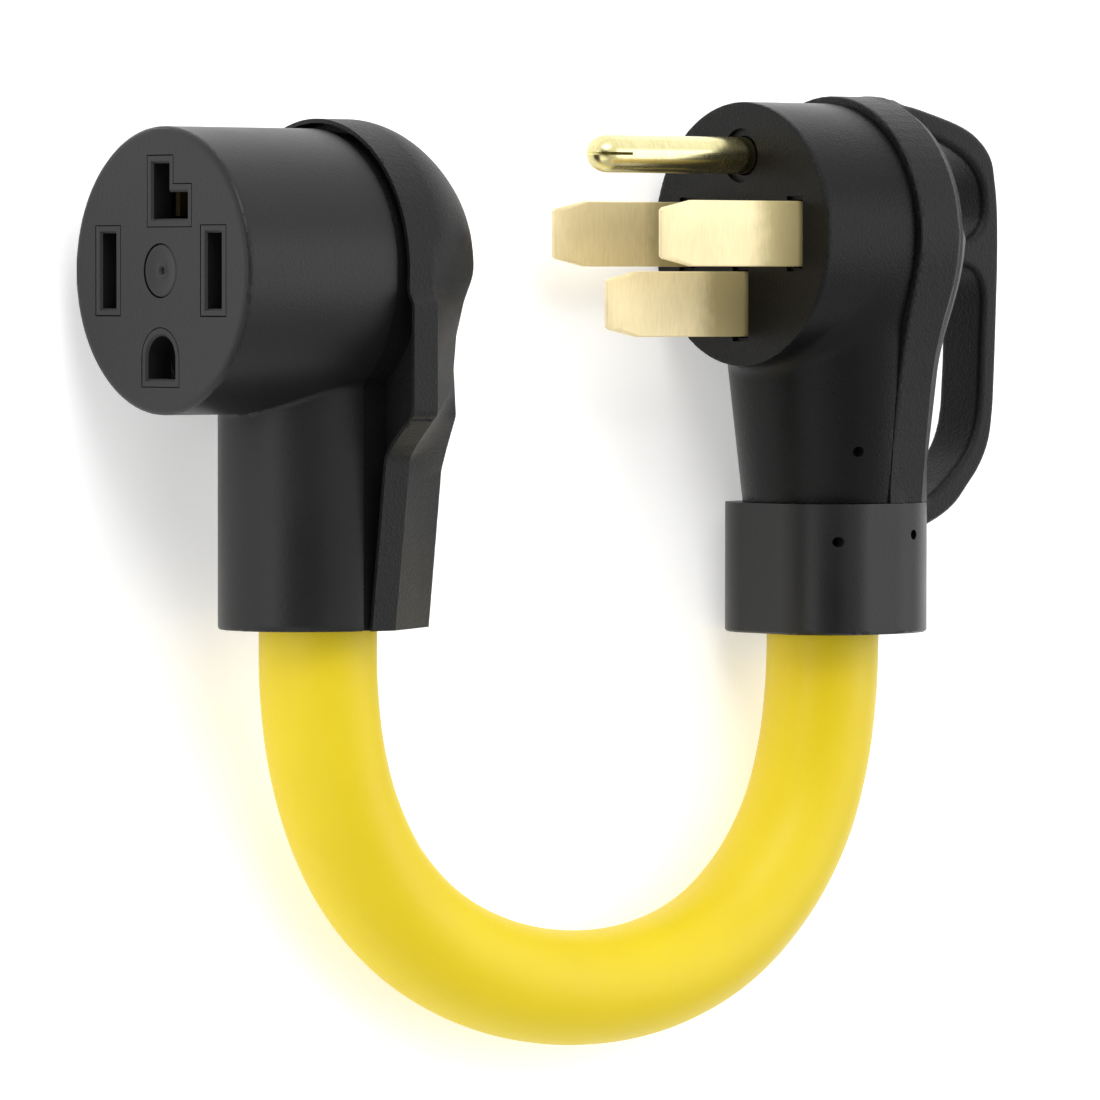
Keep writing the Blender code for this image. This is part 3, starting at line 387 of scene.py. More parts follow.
def on_level(field, points):
    """One step of each point to the field's zero level, and the unit gradient there."""
    gradient = slope(field, points)
    size = np.maximum((gradient ** 2).sum(axis=1, keepdims=True), 1e-6)
    return points - gradient * field(*points.T)[:, None] / size, gradient / np.sqrt(size)


def cell_points(field, values, cells, origin, step):
    """For each crossed cell, the point that best fits the surface planes crossing its edges."""
    planes, pulls = np.zeros((len(cells), 3, 3)), np.zeros((len(cells), 3))
    total, hits = np.zeros((len(cells), 3)), np.zeros((len(cells), 1))
    for a, b in EDGES:
        value_a, value_b = values[tuple((cells + a).T)], values[tuple((cells + b).T)]
        crossed = (value_a < 0.0) != (value_b < 0.0)
        share = (value_a / np.where(crossed, value_a - value_b, 1.0))[crossed, None]
        point, normal = on_level(field, origin + (cells[crossed] + a + (b - a) * share) * step)
        planes[crossed] += normal[:, :, None] * normal[:, None, :]
        pulls[crossed] += normal * (normal * point).sum(axis=1, keepdims=True)
        total[crossed] += point
        hits[crossed] += 1.0
    middle = total / hits
    hold = 0.04
    push = pulls - (planes @ middle[:, :, None])[:, :, 0]
    shift = np.linalg.solve(planes + hold * np.eye(3), push[:, :, None])[:, :, 0]
    return middle + np.clip(shift, -step, step)


def skin(field, low, high, step):
    """A closed skin of quads on the field's zero level, with a corner for each cell that it crosses.

    The grid starts an odd part of a step early, so that no flat face lies on one of its planes.
    """
    before, after = 2.37, 2.0
    lines = [np.arange(a - before * step, b + after * step, step) for a, b in zip(low, high)]
    values = field(lines[0][:, None, None], lines[1][None, :, None], lines[2][None, None, :])
    values = np.broadcast_to(values, tuple(len(line) for line in lines))
    inside = values < 0.0
    shape = tuple(n - 1 for n in values.shape)
    count = sum(inside[tuple(slice(s, s + n) for s, n in zip(c, shape))].astype(np.int8) for c in CORNERS)
    cells = np.argwhere((count > 0) & (count < len(CORNERS)))
    index = np.full(shape, -1)
    index[tuple(cells.T)] = np.arange(len(cells))
    origin = np.array([line[0] for line in lines])
    points = cell_points(field, values, cells, origin, step)
    quads = []
    for axis in range(3):
        u, v = (axis + 1) % 3, (axis + 2) % 3
        near, far = (np.take(inside, range(s, inside.shape[axis] - 1 + s), axis) for s in (0, 1))
        at = np.argwhere(near != far)
        loop = []
        for back_u, back_v in ((1, 1), (0, 1), (0, 0), (1, 0)):
            cell = at.copy()
            cell[:, u] -= back_u
            cell[:, v] -= back_v
            loop.append(index[tuple(cell.T)])
        quad = np.stack(loop, axis=1)
        quads.append(np.where(near[tuple(at.T)][:, None], quad, quad[:, ::-1]))
    return points, np.concatenate(quads)


# ---------------------------------------------------------------- meshes and pieces

def mesh_of(name, points, faces):
    """A mesh in metres from points in millimetres."""
    mesh = bpy.data.meshes.new(name)
    mesh.from_pydata((np.asarray(points) * MM).tolist(), [], [list(map(int, f)) for f in faces])
    mesh.validate()
    return mesh


def new_piece(name, mesh, place, material, node, sharp=35.0):
    """A finished piece: placed, given its material, riding on the body and standing for its CAD node."""
    mesh.transform(place)
    mesh.materials.append(material)
    mesh.shade_smooth()
    mesh.set_sharp_from_angle(angle=math.radians(sharp))
    item = bpy.data.objects.new(name, mesh)
    bpy.context.scene.collection.objects.link(item)
    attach(item, "root")
    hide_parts(node)


def moulding(name, field, low, high, step, place, material, node, sharp=35.0):
    """A piece made as the skin of a field, sampled at a step between two corners."""
    new_piece(name, mesh_of(name, *skin(field, low, high, step)), place, material, node, sharp)


def turned(name, profile, place, material, node, steps):
    """A piece made by turning a profile."""
    new_piece(name, outward(mesh_of(name, *lathe(profile, steps=steps))), place, material, node)


def sleeve(name, rings, place, material, node):
    """A piece made from rings that close on themselves."""
    new_piece(name, outward(mesh_of(name, *loft(rings, closed=True))), place, material, node)


def lathe(profile, centre=(0.0, 0.0), steps=96):
    """Rings turned about the Y axis from (radius, depth) points whose ends lie on the axis."""
    angles = np.linspace(0.0, 2 * math.pi, steps, endpoint=False)
    points = [(centre[0], profile[0][1], centre[1])]
    for radius, depth in profile[1:-1]:
        points += [(centre[0] + radius * math.cos(a), depth, centre[1] + radius * math.sin(a))
                   for a in angles]
    points.append((centre[0], profile[-1][1], centre[1]))
    faces, last, rings = [], len(points) - 1, len(profile) - 2
    for i in range(steps):
        j = (i + 1) % steps
        faces.append((0, 1 + j, 1 + i))
        for r in range(rings - 1):
            low, high = 1 + r * steps, 1 + (r + 1) * steps
            faces.append((low + i, low + j, high + j, high + i))
        end = 1 + (rings - 1) * steps
        faces.append((end + i, end + j, last))
    return points, faces


def loft(rings, closed=False):
    """A skin through rings of equally many points: capped at both ends, or closed on itself."""
    count, points, faces = len(rings[0]), [p for ring in rings for p in ring], []
    pairs = list(zip(range(len(rings)), range(1, len(rings))))
    if closed:
        pairs.append((len(rings) - 1, 0))
    for a, b in pairs:
        for i in range(count):
            j = (i + 1) % count
            faces.append((a * count + i, a * count + j, b * count + j, b * count + i))
    if not closed:
        faces.append(tuple(reversed(range(count))))
        faces.append(tuple(range((len(rings) - 1) * count, len(rings) * count)))
    return points, faces


def outward(mesh):
    """Turn all faces out."""
    shape = bmesh.new()
    shape.from_mesh(mesh)
    bmesh.ops.recalc_face_normals(shape, faces=shape.faces)
    shape.to_mesh(mesh)
    shape.free()
    return mesh


def applied(mesh, prepare):
    """The mesh after the modifiers that the function sets up, with any cutter removed."""
    item = bpy.data.objects.new("work", mesh)
    bpy.context.scene.collection.objects.link(item)
    helpers = prepare(item) or []
    bpy.context.view_layer.update()
    seen = item.evaluated_get(bpy.context.evaluated_depsgraph_get())
    result = bpy.data.meshes.new_from_object(seen)
    for used in (item, *helpers):
        bpy.data.objects.remove(used, do_unlink=True)
    result.name = mesh.name
    return result


def cut_away(mesh, cutter):
    """The mesh less the cutter's shape."""
    def prepare(item):
        tool = bpy.data.objects.new("cutter", cutter)
        bpy.context.scene.collection.objects.link(tool)
        step = item.modifiers.new("cut", "BOOLEAN")
        step.operation = "DIFFERENCE"
        step.object = tool
        return [tool]
    return applied(mesh, prepare)


def bevelled(mesh, width, segments, degrees):
    """The mesh with its edges rounded where they turn by more than an angle."""
    def prepare(item):
        step = item.modifiers.new("edge", "BEVEL")
        step.width = width * MM
        step.segments = segments
        step.limit_method = "ANGLE"
        step.angle_limit = math.radians(degrees)
        step.use_clamp_overlap = True
    return applied(mesh, prepare)


# ---------------------------------------------------------------- socket

RIVET_HOLE = 2.8


def hot_shape(x, z, half_height, half_width):
    """The two hot slots."""
    return box_field(x, np.abs(z), (0.0, HOT_SPACING / 2), (half_height, half_width))


def neutral_shape(x, z, grow):
    """The L-shaped slot, grown all round."""
    limb = box_field(x, z, (-15.5, 0.0), (5.4 + grow, 2.6 + grow))
    foot = box_field(x, z, (-12.7, 2.95), (2.6 + grow, 5.55 + grow))
    return np.minimum(limb, foot)


def ground_shape(x, z, grow):
    """The D-shaped slot, round towards the middle of the face, grown all round."""
    half, centre, bottom = 4.45 + grow, 17.15, 21.09 + grow
    foot = np.maximum(centre - x, np.abs(z) - half)
    return np.maximum(np.minimum(np.hypot(x - centre, z) - half, foot), x - bottom)


def boss_shapes(x, z, grow):
    """The four bosses round the slots, grown all round."""
    rim = 1.5 + grow
    shapes = np.minimum(hot_shape(x, z, 8.75 + grow, 4.0 + grow), neutral_shape(x, z, rim))
    return np.minimum(shapes, ground_shape(x, z, rim))


def slot_shapes(x, z, grow):
    """The four slots, grown all round."""
    shapes = np.minimum(hot_shape(x, z, 7.35 + grow, 2.3 + grow), neutral_shape(x, z, grow))
    return np.minimum(shapes, ground_shape(x, z, grow))


def socket_stem(y, z, wall):
    """The socket's stem, endless, less a wall."""
    return ellipse(y - SOCKET_STEM_AXIS, z, SOCKET_STEM_HALF_DEPTH - wall, SOCKET_STEM_HALF_WIDTH - wall)


def socket_front_field(x, y, z):
    """A cup with the stem's front half below it, hollow, with windows for the bosses and the rivet."""
    face_wall, boss_gap, rivet_window, window_depth = 2.8, 0.18, 5.35, 1.5
    radius = np.hypot(x, z)
    head = meet(radius - SOCKET_RADIUS, -y, 1.1)
    stem = np.maximum(meet(socket_stem(y, z, 0.0), x - SOCKET_STEM_END, 0.7), SOCKET_STEM_START - x)
    body = meet(join(head, stem, 0.7), y - SOCKET_PARTING, 0.2)
    cup = meet(radius - SOCKET_RADIUS + WALL, face_wall - y)
    hollow = np.minimum(cup, np.maximum(socket_stem(y, z, WALL), SOCKET_BORE_START - x))
    body = carve(body, hollow, 0.3)
    body = carve(body, np.maximum(boss_shapes(x, z, boss_gap), y - 2 * face_wall), 0.15)
    body = carve(body, np.maximum(radius - rivet_window, y - window_depth), 0.15)
    return carve(body, np.maximum(radius - RIVET_HOLE, y - 2 * face_wall))


def contact_carrier_field(x, y, z):
    """The disc that holds the contacts, with the bosses that come through the face."""
    disc_front, disc_back, slot_depth, pocket_top, lead_in = 3.1, 21.0, 6.0, 5.0, 0.45
    radius = np.hypot(x, z)
    disc = meet(radius - (SOCKET_RADIUS - WALL - GAP), slab(y, disc_front, disc_back), 0.5)
    bosses = meet(boss_shapes(x, z, 0.0), slab(y, 0.0, 8.0), 0.22)
    slots = np.maximum(slot_shapes(x, z, 0.0) - np.maximum(lead_in - y, 0.0), y - slot_depth)
    body = np.maximum(np.minimum(disc, bosses), -slots)
    pockets = np.minimum(hot_shape(x, z, 7.7, 3.3), box_field(x, z, (-15.5, 0.0), (5.7, 3.3)))
    pockets = np.minimum(pockets, np.hypot(x - 17.2, z) - 4.4)
    body = carve(body, np.maximum(pockets, pocket_top - y), 0.3)
    return np.maximum(body, -(radius - RIVET_HOLE))


def flange_corners():
    """Half of the rear cover's front edge, from the top to beyond the stem's end, with corner radii."""
    turn_point, radius, width = 4.0, 30.2, 31.5
    end = math.degrees(math.acos(turn_point / radius))
    half = [(u, v, radius) for u, v in arc((0, 0), radius, 180, end, 12)]
    half += [(6.5, width, 1.6), (13.0, width, 6.0), (19.5, width, 6.0), (28.0, width, 1.8),
             (34.0, 25.0, 3.0), (36.7, 22.8, 3.0), (82.7, 16.6, 1.0)]
    return half


def back_corners():
    """Half of the rear cover's back edge: smaller, with a waist on each side."""
    radius, end = 22.3, 88.7
    half = [(u, v, radius) for u, v in arc((0, 0), radius, 180, end, 10)]
    half += [(6.0, 19.2, 3.0), (12.5, 16.7, 6.0), (19.5, 15.8, 6.0), (28.6, 16.8, 2.6),
             (35.4, 13.8, 3.0), (39.4, 12.2, 3.0), (82.7, 6.7, 1.0)]
    return half


def both_sides(half):
    """Close a half outline of corners over its axis, and round them."""
    return filleted(half + [(u, -v, r) for u, v, r in reversed(half) if abs(v) > 1e-9], 4)


FLANGE_LOOP = both_sides(flange_corners())
BACK_LOOP = both_sides(back_corners())


def socket_rear_field(x, y, z):
    """The rear cover: a thin-rimmed flange, a ridge, and sides that slope to a smaller back."""
    swell, slant, rim_wall, trough_floor, set_back = 2.3, 1.15, 0.85, 43.0, 0.7
    radius = np.hypot(x, z)
    share = (y - SOCKET_RIDGE) / (SOCKET_BACK - SOCKET_RIDGE)
    flange, back = outline(x, z, FLANGE_LOOP), outline(x, z, BACK_LOOP)
    bulge = swell * np.clip(0.4 - x / 12.0, 0.0, 1.0) * np.maximum(4.0 * share * (1.0 - share), 0.0)
    sloped = (flange + (back - flange) * share - bulge) / slant
    body = meet(np.maximum(flange, sloped), y - SOCKET_BACK, 1.3)
    body = np.maximum(body, np.maximum(SOCKET_FLANGE - y, x - SOCKET_STEM_END))
    body = carve(body, np.maximum(flange + rim_wall, y - trough_floor))
    stem_neck = np.maximum(np.abs(z) - SOCKET_STEM_HALF_WIDTH, SOCKET_STEM_START - x)
    neck = np.minimum(radius - SOCKET_RADIUS, stem_neck) + set_back
    neck = np.maximum(neck, slab(y, SOCKET_PARTING + GAP, SOCKET_RIDGE))
    body = np.minimum(body, np.maximum(neck, x - SOCKET_STEM_END + 0.1))
    cavity = np.maximum(np.maximum(radius - SOCKET_RADIUS, sloped), y - SOCKET_BACK) + WALL
    hollow = np.minimum(cavity, np.maximum(socket_stem(y, z, WALL), SOCKET_BORE_START - x))
    return np.maximum(body, -hollow)


def rivet_profile():
    """A shallow dished head with a small centre mark, a shank and a clinched tail."""
    return [(0.0, 1.15), (0.5, 1.1), (0.72, 0.62), (0.95, 0.42), (1.3, 0.36), (1.62, 0.5), (2.4, 0.46),
            (3.4, 0.33), (4.2, 0.2), (4.7, 0.1), (4.95, 0.12), (5.1, 0.24), (5.15, 0.45), (5.15, 1.3),
            (2.5, 1.3), (2.5, 21.3), (4.0, 21.3), (3.9, 22.0), (3.4, 22.6), (2.6, 22.8), (0.0, 22.8)]


def sleeve_rings(start, end, half_depth, half_width, inner, centre):
    """Rings of a short sleeve along X: its outside is an ellipse (Y and Z), and its bore is round."""
    edge, soft = 0.5, 0.15
    turns = np.linspace(0.0, 2 * math.pi, 96, endpoint=False)

    def ring(x, half_y, half_z):
        return [(x, centre + half_y * math.cos(t), half_z * math.sin(t)) for t in turns]

    outside = [ring(x, half_depth - inset, half_width - inset) for x, inset in
               ((start, edge), (start + edge, 0.0), (end - edge, 0.0), (end - soft, soft), (end, edge))]
    bore = [ring(x, inner + inset, inner + inset) for x, inset in
            ((end, edge), (end - soft, soft), (end - edge, 0.0), (start + edge, 0.0), (start, edge))]
    return outside + bore


def make_socket():
    low = (-SOCKET_RADIUS, 0.0, -SOCKET_RADIUS)
    moulding("socket_front_shell", socket_front_field, low, (SOCKET_STEM_END, SOCKET_PARTING, SOCKET_RADIUS),
             0.62, SOCKET_MATRIX, BLACK_SMOOTH, "socket_front_housing")
    side = 31.5
    moulding("socket_rear_shell", socket_rear_field, (-SOCKET_RADIUS - 2.0, SOCKET_PARTING, -side),
             (SOCKET_STEM_END, SOCKET_BACK, side), 0.62, SOCKET_MATRIX, BLACK_GRAINED, "socket_rear_cover",
             sharp=25.0)
    moulding("socket_contact_block", contact_carrier_field, low, (SOCKET_RADIUS, 21.0, SOCKET_RADIUS),
             0.5, SOCKET_MATRIX, BLACK_CARRIER, "contact_carrier")
    turned("socket_centre_rivet", rivet_profile(), SOCKET_MATRIX, BLACK_CARRIER, "face_rivet", 64)
    rings = sleeve_rings(49.0, SOCKET_STEM_END - GAP, SOCKET_STEM_HALF_DEPTH - WALL - GAP,
                         SOCKET_STEM_HALF_WIDTH - WALL - GAP, CABLE_RADIUS + GAP, SOCKET_STEM_AXIS)
    sleeve("socket_cable_seal", rings, SOCKET_MATRIX, BLACK_RUBBER, "socket_cord_bushing")


# ---------------------------------------------------------------- plug

PLUG_RIM_RADIUS, PLUG_RIM_BACK = 29.0, 33.0
DOME = [(PLUG_RIM_RADIUS, PLUG_RIM_BACK), (27.9, 36.9), (23.3, 41.1), (18.6, 45.0), (12.0, 48.0),
        (0.0, 49.6)]
BLADE_HALF, BLADE_HALF_THICKNESS = 6.75, 1.0
RECESS_HALF = (7.75, 2.5)
NEUTRAL_BLADE = 14.5
PIN_PLACE = -16.3
PIN_RADIUS = 3.85
HANDLE_HALF = 6.5
CLOSE_UP = 0.2              # how much of the gap at the visible joints is taken up again
MOULD_PIN = 1.05            # the radius of the core-pin holes


def plug_stem(x, y, z, wall):
    """The plug's tapered stem, endless, less a wall."""
    drop = (PLUG_STEM_RADII[0] - PLUG_STEM_RADII[1]) / (PLUG_STEM_END - PLUG_STEM_TOP)
    radius = PLUG_STEM_RADII[0] - drop * (x - PLUG_STEM_TOP) - wall
    return (np.hypot(y - PLUG_STEM_AXIS, z) - radius) / math.hypot(1.0, drop)


def blade_shapes(x, z, half_height, half_width):
    """A rectangle at each of the three blades."""
    hot = box_field(x, np.abs(z), (0.0, HOT_SPACING / 2), (half_height, half_width))
    return np.minimum(hot, box_field(x, z, (NEUTRAL_BLADE, 0.0), (half_height, half_width)))


def parting_round(x):
    """The edge radius along the parting line, which fades out towards the collar."""
    least, more, end, fade = 0.12, 0.3, 50.0, 20.0
    return least + more * np.clip((end - x) / fade, 0.0, 1.0)


def mould_hole(x, y, z, at_x, at_y, floor):
    """The round hole that a core pin leaves in the +Z side, down to a level."""
    return np.maximum(np.hypot(x - at_x, y - at_y) - MOULD_PIN, floor - z)


def plug_front_field(x, y, z):
    """The front body: a cup with the stem's front half running into it."""
    face_wall, recess, pin_recess, stem_start = 3.0, 1.0, 5.65, 6.0
    radius, pin = np.hypot(x, z), np.hypot(x - PIN_PLACE, z)
    head = meet(radius - PLUG_RADIUS, -y, 0.5)
    stem = np.maximum(meet(plug_stem(x, y, z, 0.0), x - PLUG_STEM_END, 0.12), stem_start - x)
    body = np.maximum(join(head, stem, 3.2), -y)
    body = meet(body, y - PLUG_PARTING - CLOSE_UP, parting_round(x))
    hollow = np.minimum(meet(radius - PLUG_RADIUS + WALL, face_wall - y),
                        np.maximum(plug_stem(x, y, z, WALL), PLUG_BORE_START - x))
    body = carve(body, hollow, 0.3)
    body = carve(body, np.maximum(blade_shapes(x, z, *RECESS_HALF), y - recess), 0.15)
    body = carve(body, np.maximum(pin - pin_recess, y - recess), 0.15)
    holes = blade_shapes(x, z, BLADE_HALF + GAP, BLADE_HALF_THICKNESS + GAP)
    body = np.maximum(body, -np.maximum(holes, y - 2 * face_wall))
    body = np.maximum(body, -np.maximum(pin - PIN_RADIUS - GAP, y - 2 * face_wall))
    return carve(body, mould_hole(x, y, z, 45.1, 16.8, 16.4), 0.15)


def handle_outlines():
    """The pull handle seen from the side (X and Y): its outer edge, the small eye and the finger gap."""
    top = HANDLE_OUTER
    outer = [(-27.0, 35.0), (-27.2, 41.0), (-25.4, 49.0), (-23.0, 57.0), (-20.3, 61.9), (-16.4, 65.4),
             (-11.4, top - 0.8), (-5.0, top - 0.1), (5.0, top), (17.0, top - 0.4), (29.0, top - 0.9),
             (37.0, top - 1.4), (43.4, top - 2.5), (48.6, top - 5.0), (53.2, top - 8.8), (57.3, 54.5),
             (60.4, 48.8), (61.8, 43.0), (56.0, 39.5), (40.0, 36.0), (20.0, 34.5), (0.0, 33.0),
             (-20.0, 32.0)]
    eye = [(-20.6, 46.0), (-19.0, 52.0), (-16.2, 57.6), (-12.2, 61.6), (-7.0, top - 4.5),
           (-2.6, top - 5.2), (0.2, top - 8.0), (0.9, 56.0), (0.7, 50.0), (-1.0, 46.4), (-6.0, 44.6),
           (-13.0, 42.6), (-18.5, 42.6)]
    finger = [(7.4, 46.4), (6.2, 52.0), (6.6, 58.0), (8.6, top - 6.2), (12.6, top - 4.7),
              (20.0, top - 5.0), (28.0, top - 5.3), (36.0, top - 5.8), (41.4, top - 7.0), (46.0, 57.9),
              (50.0, 54.0), (53.4, 49.9), (55.2, 46.0), (52.6, 42.9), (45.0, 41.9), (36.0, 42.1),
              (26.0, 43.0), (16.0, 44.2)]
    return [eased(loop, 4) for loop in (outer, eye, finger)]


def plug_rim_outline():
    """The cover's proud rim: round over the head, narrowing until it is flush with the stem."""
    half = arc((0, 0), PLUG_RIM_RADIUS, 180, 72, 22)
    half += [(16.0, 25.6), (24.0, 23.6), (33.0, 21.8), (43.0, 20.4), (PLUG_STEM_END + 1.0, 19.1)]
    return mirrored(half)


HANDLE_LOOPS = handle_outlines()
RIM_LOOP = plug_rim_outline()
DOME_FRONT = 20.0
DOME_LOOP = [(-r, y) for r, y in DOME[:-1]] + DOME[::-1]
DOME_LOOP += [(PLUG_RIM_RADIUS, DOME_FRONT), (-PLUG_RIM_RADIUS, DOME_FRONT)]
TONGUE_FRONT, TONGUE_END = 40.3, 62.0
FLUSH_TOP = 44.0
COLLAR_CENTRE, COLLAR_SIDE, COLLAR_FRONT = 26.1, 19.5, 5.7


def collar_section(y, z):
    """The collar's section: flat in front with round corners, round behind."""
    corner = 13.0
    front = meet(COLLAR_FRONT - y, np.abs(z) - COLLAR_SIDE, corner)
    back = np.hypot(y - COLLAR_CENTRE, z) - COLLAR_SIDE
    return np.where(y < COLLAR_CENTRE, front, back)


def plug_rear_field(x, y, z):
    """The rear cover: rim, dome and the stem's rear half, flush with the collar, and the pull handle.

    A tongue under the handle's lower arm runs on over the collar.
    """
    stem_start, tongue_start = 4.0, 50.0
    rim_edge = outline(x, z, RIM_LOOP)
    rim = np.maximum(rim_edge, y - PLUG_RIM_BACK)
    dome = outline(np.hypot(x, z), y, DOME_LOOP)
    stem = np.maximum(plug_stem(x, y, z, 0.0), stem_start - x)
    body = np.maximum(join(melt(dome, stem, 7.0), rim, 3.5), rim_edge)
    flush_end = np.maximum(collar_section(y, z), FLUSH_TOP - x)
    body = meet(np.minimum(body, flush_end), x - PLUG_STEM_END, 0.12)
    outer, eye, finger = (outline(x, y, loop) for loop in HANDLE_LOOPS)
    arm = meet(outer, np.abs(z) - HANDLE_HALF, 1.3)
    arm = carve(carve(arm, eye, 1.6), finger, 1.3)
    body = melt(body, arm, 3.5)
    tongue = np.maximum(collar_section(y, z), TONGUE_FRONT - y)
    body = np.minimum(body, meet(tongue, slab(x, tongue_start, TONGUE_END), 0.12))
    body = meet(body, PLUG_PARTING + GAP - CLOSE_UP / 2 - y, parting_round(x))
    hollow = np.minimum(dome + WALL, np.maximum(plug_stem(x, y, z, WALL), PLUG_BORE_START - x))
    return carve(body, hollow, 0.3)


def plug_collar_field(x, y, z):
    """The collar: a sleeve, cut back where the cover's tongue lies, with core-pin holes in one side."""
    body = meet(collar_section(y, z), COLLAR_TOP - CLOSE_UP - x, 0.15)
    body = meet(body, x - COLLAR_END, 0.7)
    body = carve(body, np.hypot(y - PLUG_CABLE_AXIS, z) - COLLAR_BORE, 0.4)
    body = carve(body, np.maximum(TONGUE_FRONT - 0.1 - y, x - TONGUE_END - 0.1), 0.12)
    body = carve(body, mould_hole(x, y, z, 63.8, 11.8, 14.5), 0.15)
    return carve(body, mould_hole(x, y, z, 62.6, 31.8, 16.4), 0.15)


def blade_carrier_field(x, y, z):
    """The disc behind the face that holds the blades and the pin."""
    body = meet(np.hypot(x, z) - (PLUG_RADIUS - WALL - GAP), slab(y, 3.3, 14.0), 0.5)
    body = np.maximum(body, -blade_shapes(x, z, BLADE_HALF + GAP, BLADE_HALF_THICKNESS + GAP))
    return np.maximum(body, -(np.hypot(x - PIN_PLACE, z) - PIN_RADIUS - GAP))


def blade_mesh(name, x, z):
    """A flat blade with a thinned tip, sloped shoulders and a narrow tail behind the carrier."""
    tip, tip_half, shoulder, wedge = -36.5, 5.0, -28.2, 2.4
    tail_half, back, end = 2.3, 14.6, 19.6
    edge, thin, corner_in, corner_back, lean = 0.22, 0.5, 0.3, 0.6, 0.12
    face = BLADE_HALF_THICKNESS

    def ring(level, tip_level, inward, tip_back):
        """An outline at one level, drawn in from the edge, whose tip is at a level of its own."""
        side = x - BLADE_HALF + inward
        tip_side = x - tip_half - (BLADE_HALF - tip_half) * lean + inward
        points = [(side, back - inward, level), (side, shoulder, level),
                  (tip_side, tip + tip_back + corner_back, tip_level),
                  (x - tip_half + corner_in + inward / 2, tip + tip_back, tip_level)]
        points += [(2 * x - u, v, w) for u, v, w in reversed(points)]
        tail = tail_half - inward
        points += [(x + tail, back - inward, level), (x + tail, end - inward, level),
                   (x - tail, end - inward, level), (x - tail, back - inward, level)]
        return [(u, v, z + w) for u, v, w in points]

    rings = [ring(-face, -face, edge, wedge), ring(edge - face, -thin, 0.0, 0.0),
             ring(face - edge, thin, 0.0, 0.0), ring(face, face, edge, wedge)]
    return bevelled(outward(mesh_of(name, *loft(rings))), 0.09, 2, 20.0)


def pin_mesh(name):
    """A round pin with a bullet nose, split at its tip."""
    tip, nose_length, back, tail, tail_radius = -40.8, 4.6, 15.0, 19.6, 2.3
    half_slit, slit_end, web, reach = 0.3, tip + 8.2, -1.8, 6.0
    nose = [(PIN_RADIUS * math.sin(t), tip + nose_length * (1.0 - math.cos(t)))
            for t in np.linspace(0.0, math.pi / 2, 14)]
    profile = nose + [(PIN_RADIUS, back - 0.4), (PIN_RADIUS - 0.4, back), (tail_radius, back),
                      (tail_radius, tail - 0.3), (tail_radius - 0.3, tail), (0.0, tail)]
    pin = outward(mesh_of(name, *lathe(profile, (PIN_PLACE, 0.0))))
    sides = PIN_PLACE - half_slit, PIN_PLACE + half_slit
    corners = [(sides[0], web), (sides[1], web), (sides[1], reach), (sides[0], reach)]
    rings = [[(u, level, v) for u, v in corners] for level in (tip - 1.0, slit_end)]
    return cut_away(pin, outward(mesh_of("slit", *loft(rings))))


def make_plug():
    low, rim = (-PLUG_RADIUS, 0.0, -PLUG_RADIUS), PLUG_RIM_RADIUS
    moulding("plug_front_shell", plug_front_field, low, (PLUG_STEM_END, PLUG_PARTING, PLUG_RADIUS), 0.6,
             PLUG_MATRIX, BLACK_FINE, "plug_front_body")
    moulding("plug_rear_shell", plug_rear_field, (-rim, PLUG_PARTING, -rim), (TONGUE_END, HANDLE_OUTER, rim),
             0.62, PLUG_MATRIX, BLACK_GRAINED, "plug_rear_cover")
    moulding("plug_cable_collar", plug_collar_field, (COLLAR_TOP, COLLAR_FRONT, -COLLAR_SIDE),
             (COLLAR_END, COLLAR_CENTRE + COLLAR_SIDE, COLLAR_SIDE), 0.55, PLUG_MATRIX, BLACK_SMOOTH,
             "plug_collar")
    moulding("plug_blade_block", blade_carrier_field, low, (PLUG_RADIUS, 14.0, PLUG_RADIUS), 0.8,
             PLUG_MATRIX, BLACK_CARRIER, "blade_carrier")
    for name, x, z in (("hot_x", 0.0, HOT_SPACING / 2), ("hot_y", 0.0, -HOT_SPACING / 2),
                       ("neutral", NEUTRAL_BLADE, 0.0)):
        blade = f"plug_flat_blade_{name}"
        new_piece(blade, blade_mesh(blade, x, z), PLUG_MATRIX, BLADE_BRASS, f"plug_blade_{name}", sharp=25.0)
    new_piece("plug_round_pin", pin_mesh("plug_round_pin"), PLUG_MATRIX, PIN_BRASS, "plug_ground_pin")
    rings = sleeve_rings(COLLAR_TOP + GAP, COLLAR_END - GAP, COLLAR_BORE - GAP, COLLAR_BORE - GAP,
                         CABLE_RADIUS + GAP, PLUG_CABLE_AXIS)
    sleeve("plug_cable_seal", rings, PLUG_MATRIX, BLACK_RUBBER, "plug_cord_bushing")


# ---------------------------------------------------------------- cable

JACKET_WALL = 3.15
ROUTE_ORIGIN = Vector((-19.39, -111.4, 0.0)) * MM
ROUTE = [
    (70.2, 38.9, 26.5), (82.2, 39.7, 24.4), (95.4, 42.6, 21.6), (108.6, 48.1, 18.7),
    (121.6, 57.4, 15.7), (133.2, 71.4, 13.4), (141.3, 89.5, 12.2), (144.8, 109.8, 11.85),
    (143.4, 130.2, 11.85), (136.9, 148.7, 11.9), (126.0, 162.9, 12.5), (112.9, 172.2, 13.8),
    (99.5, 176.6, 15.7), (86.4, 178.1, 17.9), (74.1, 178.4, 19.6),
]


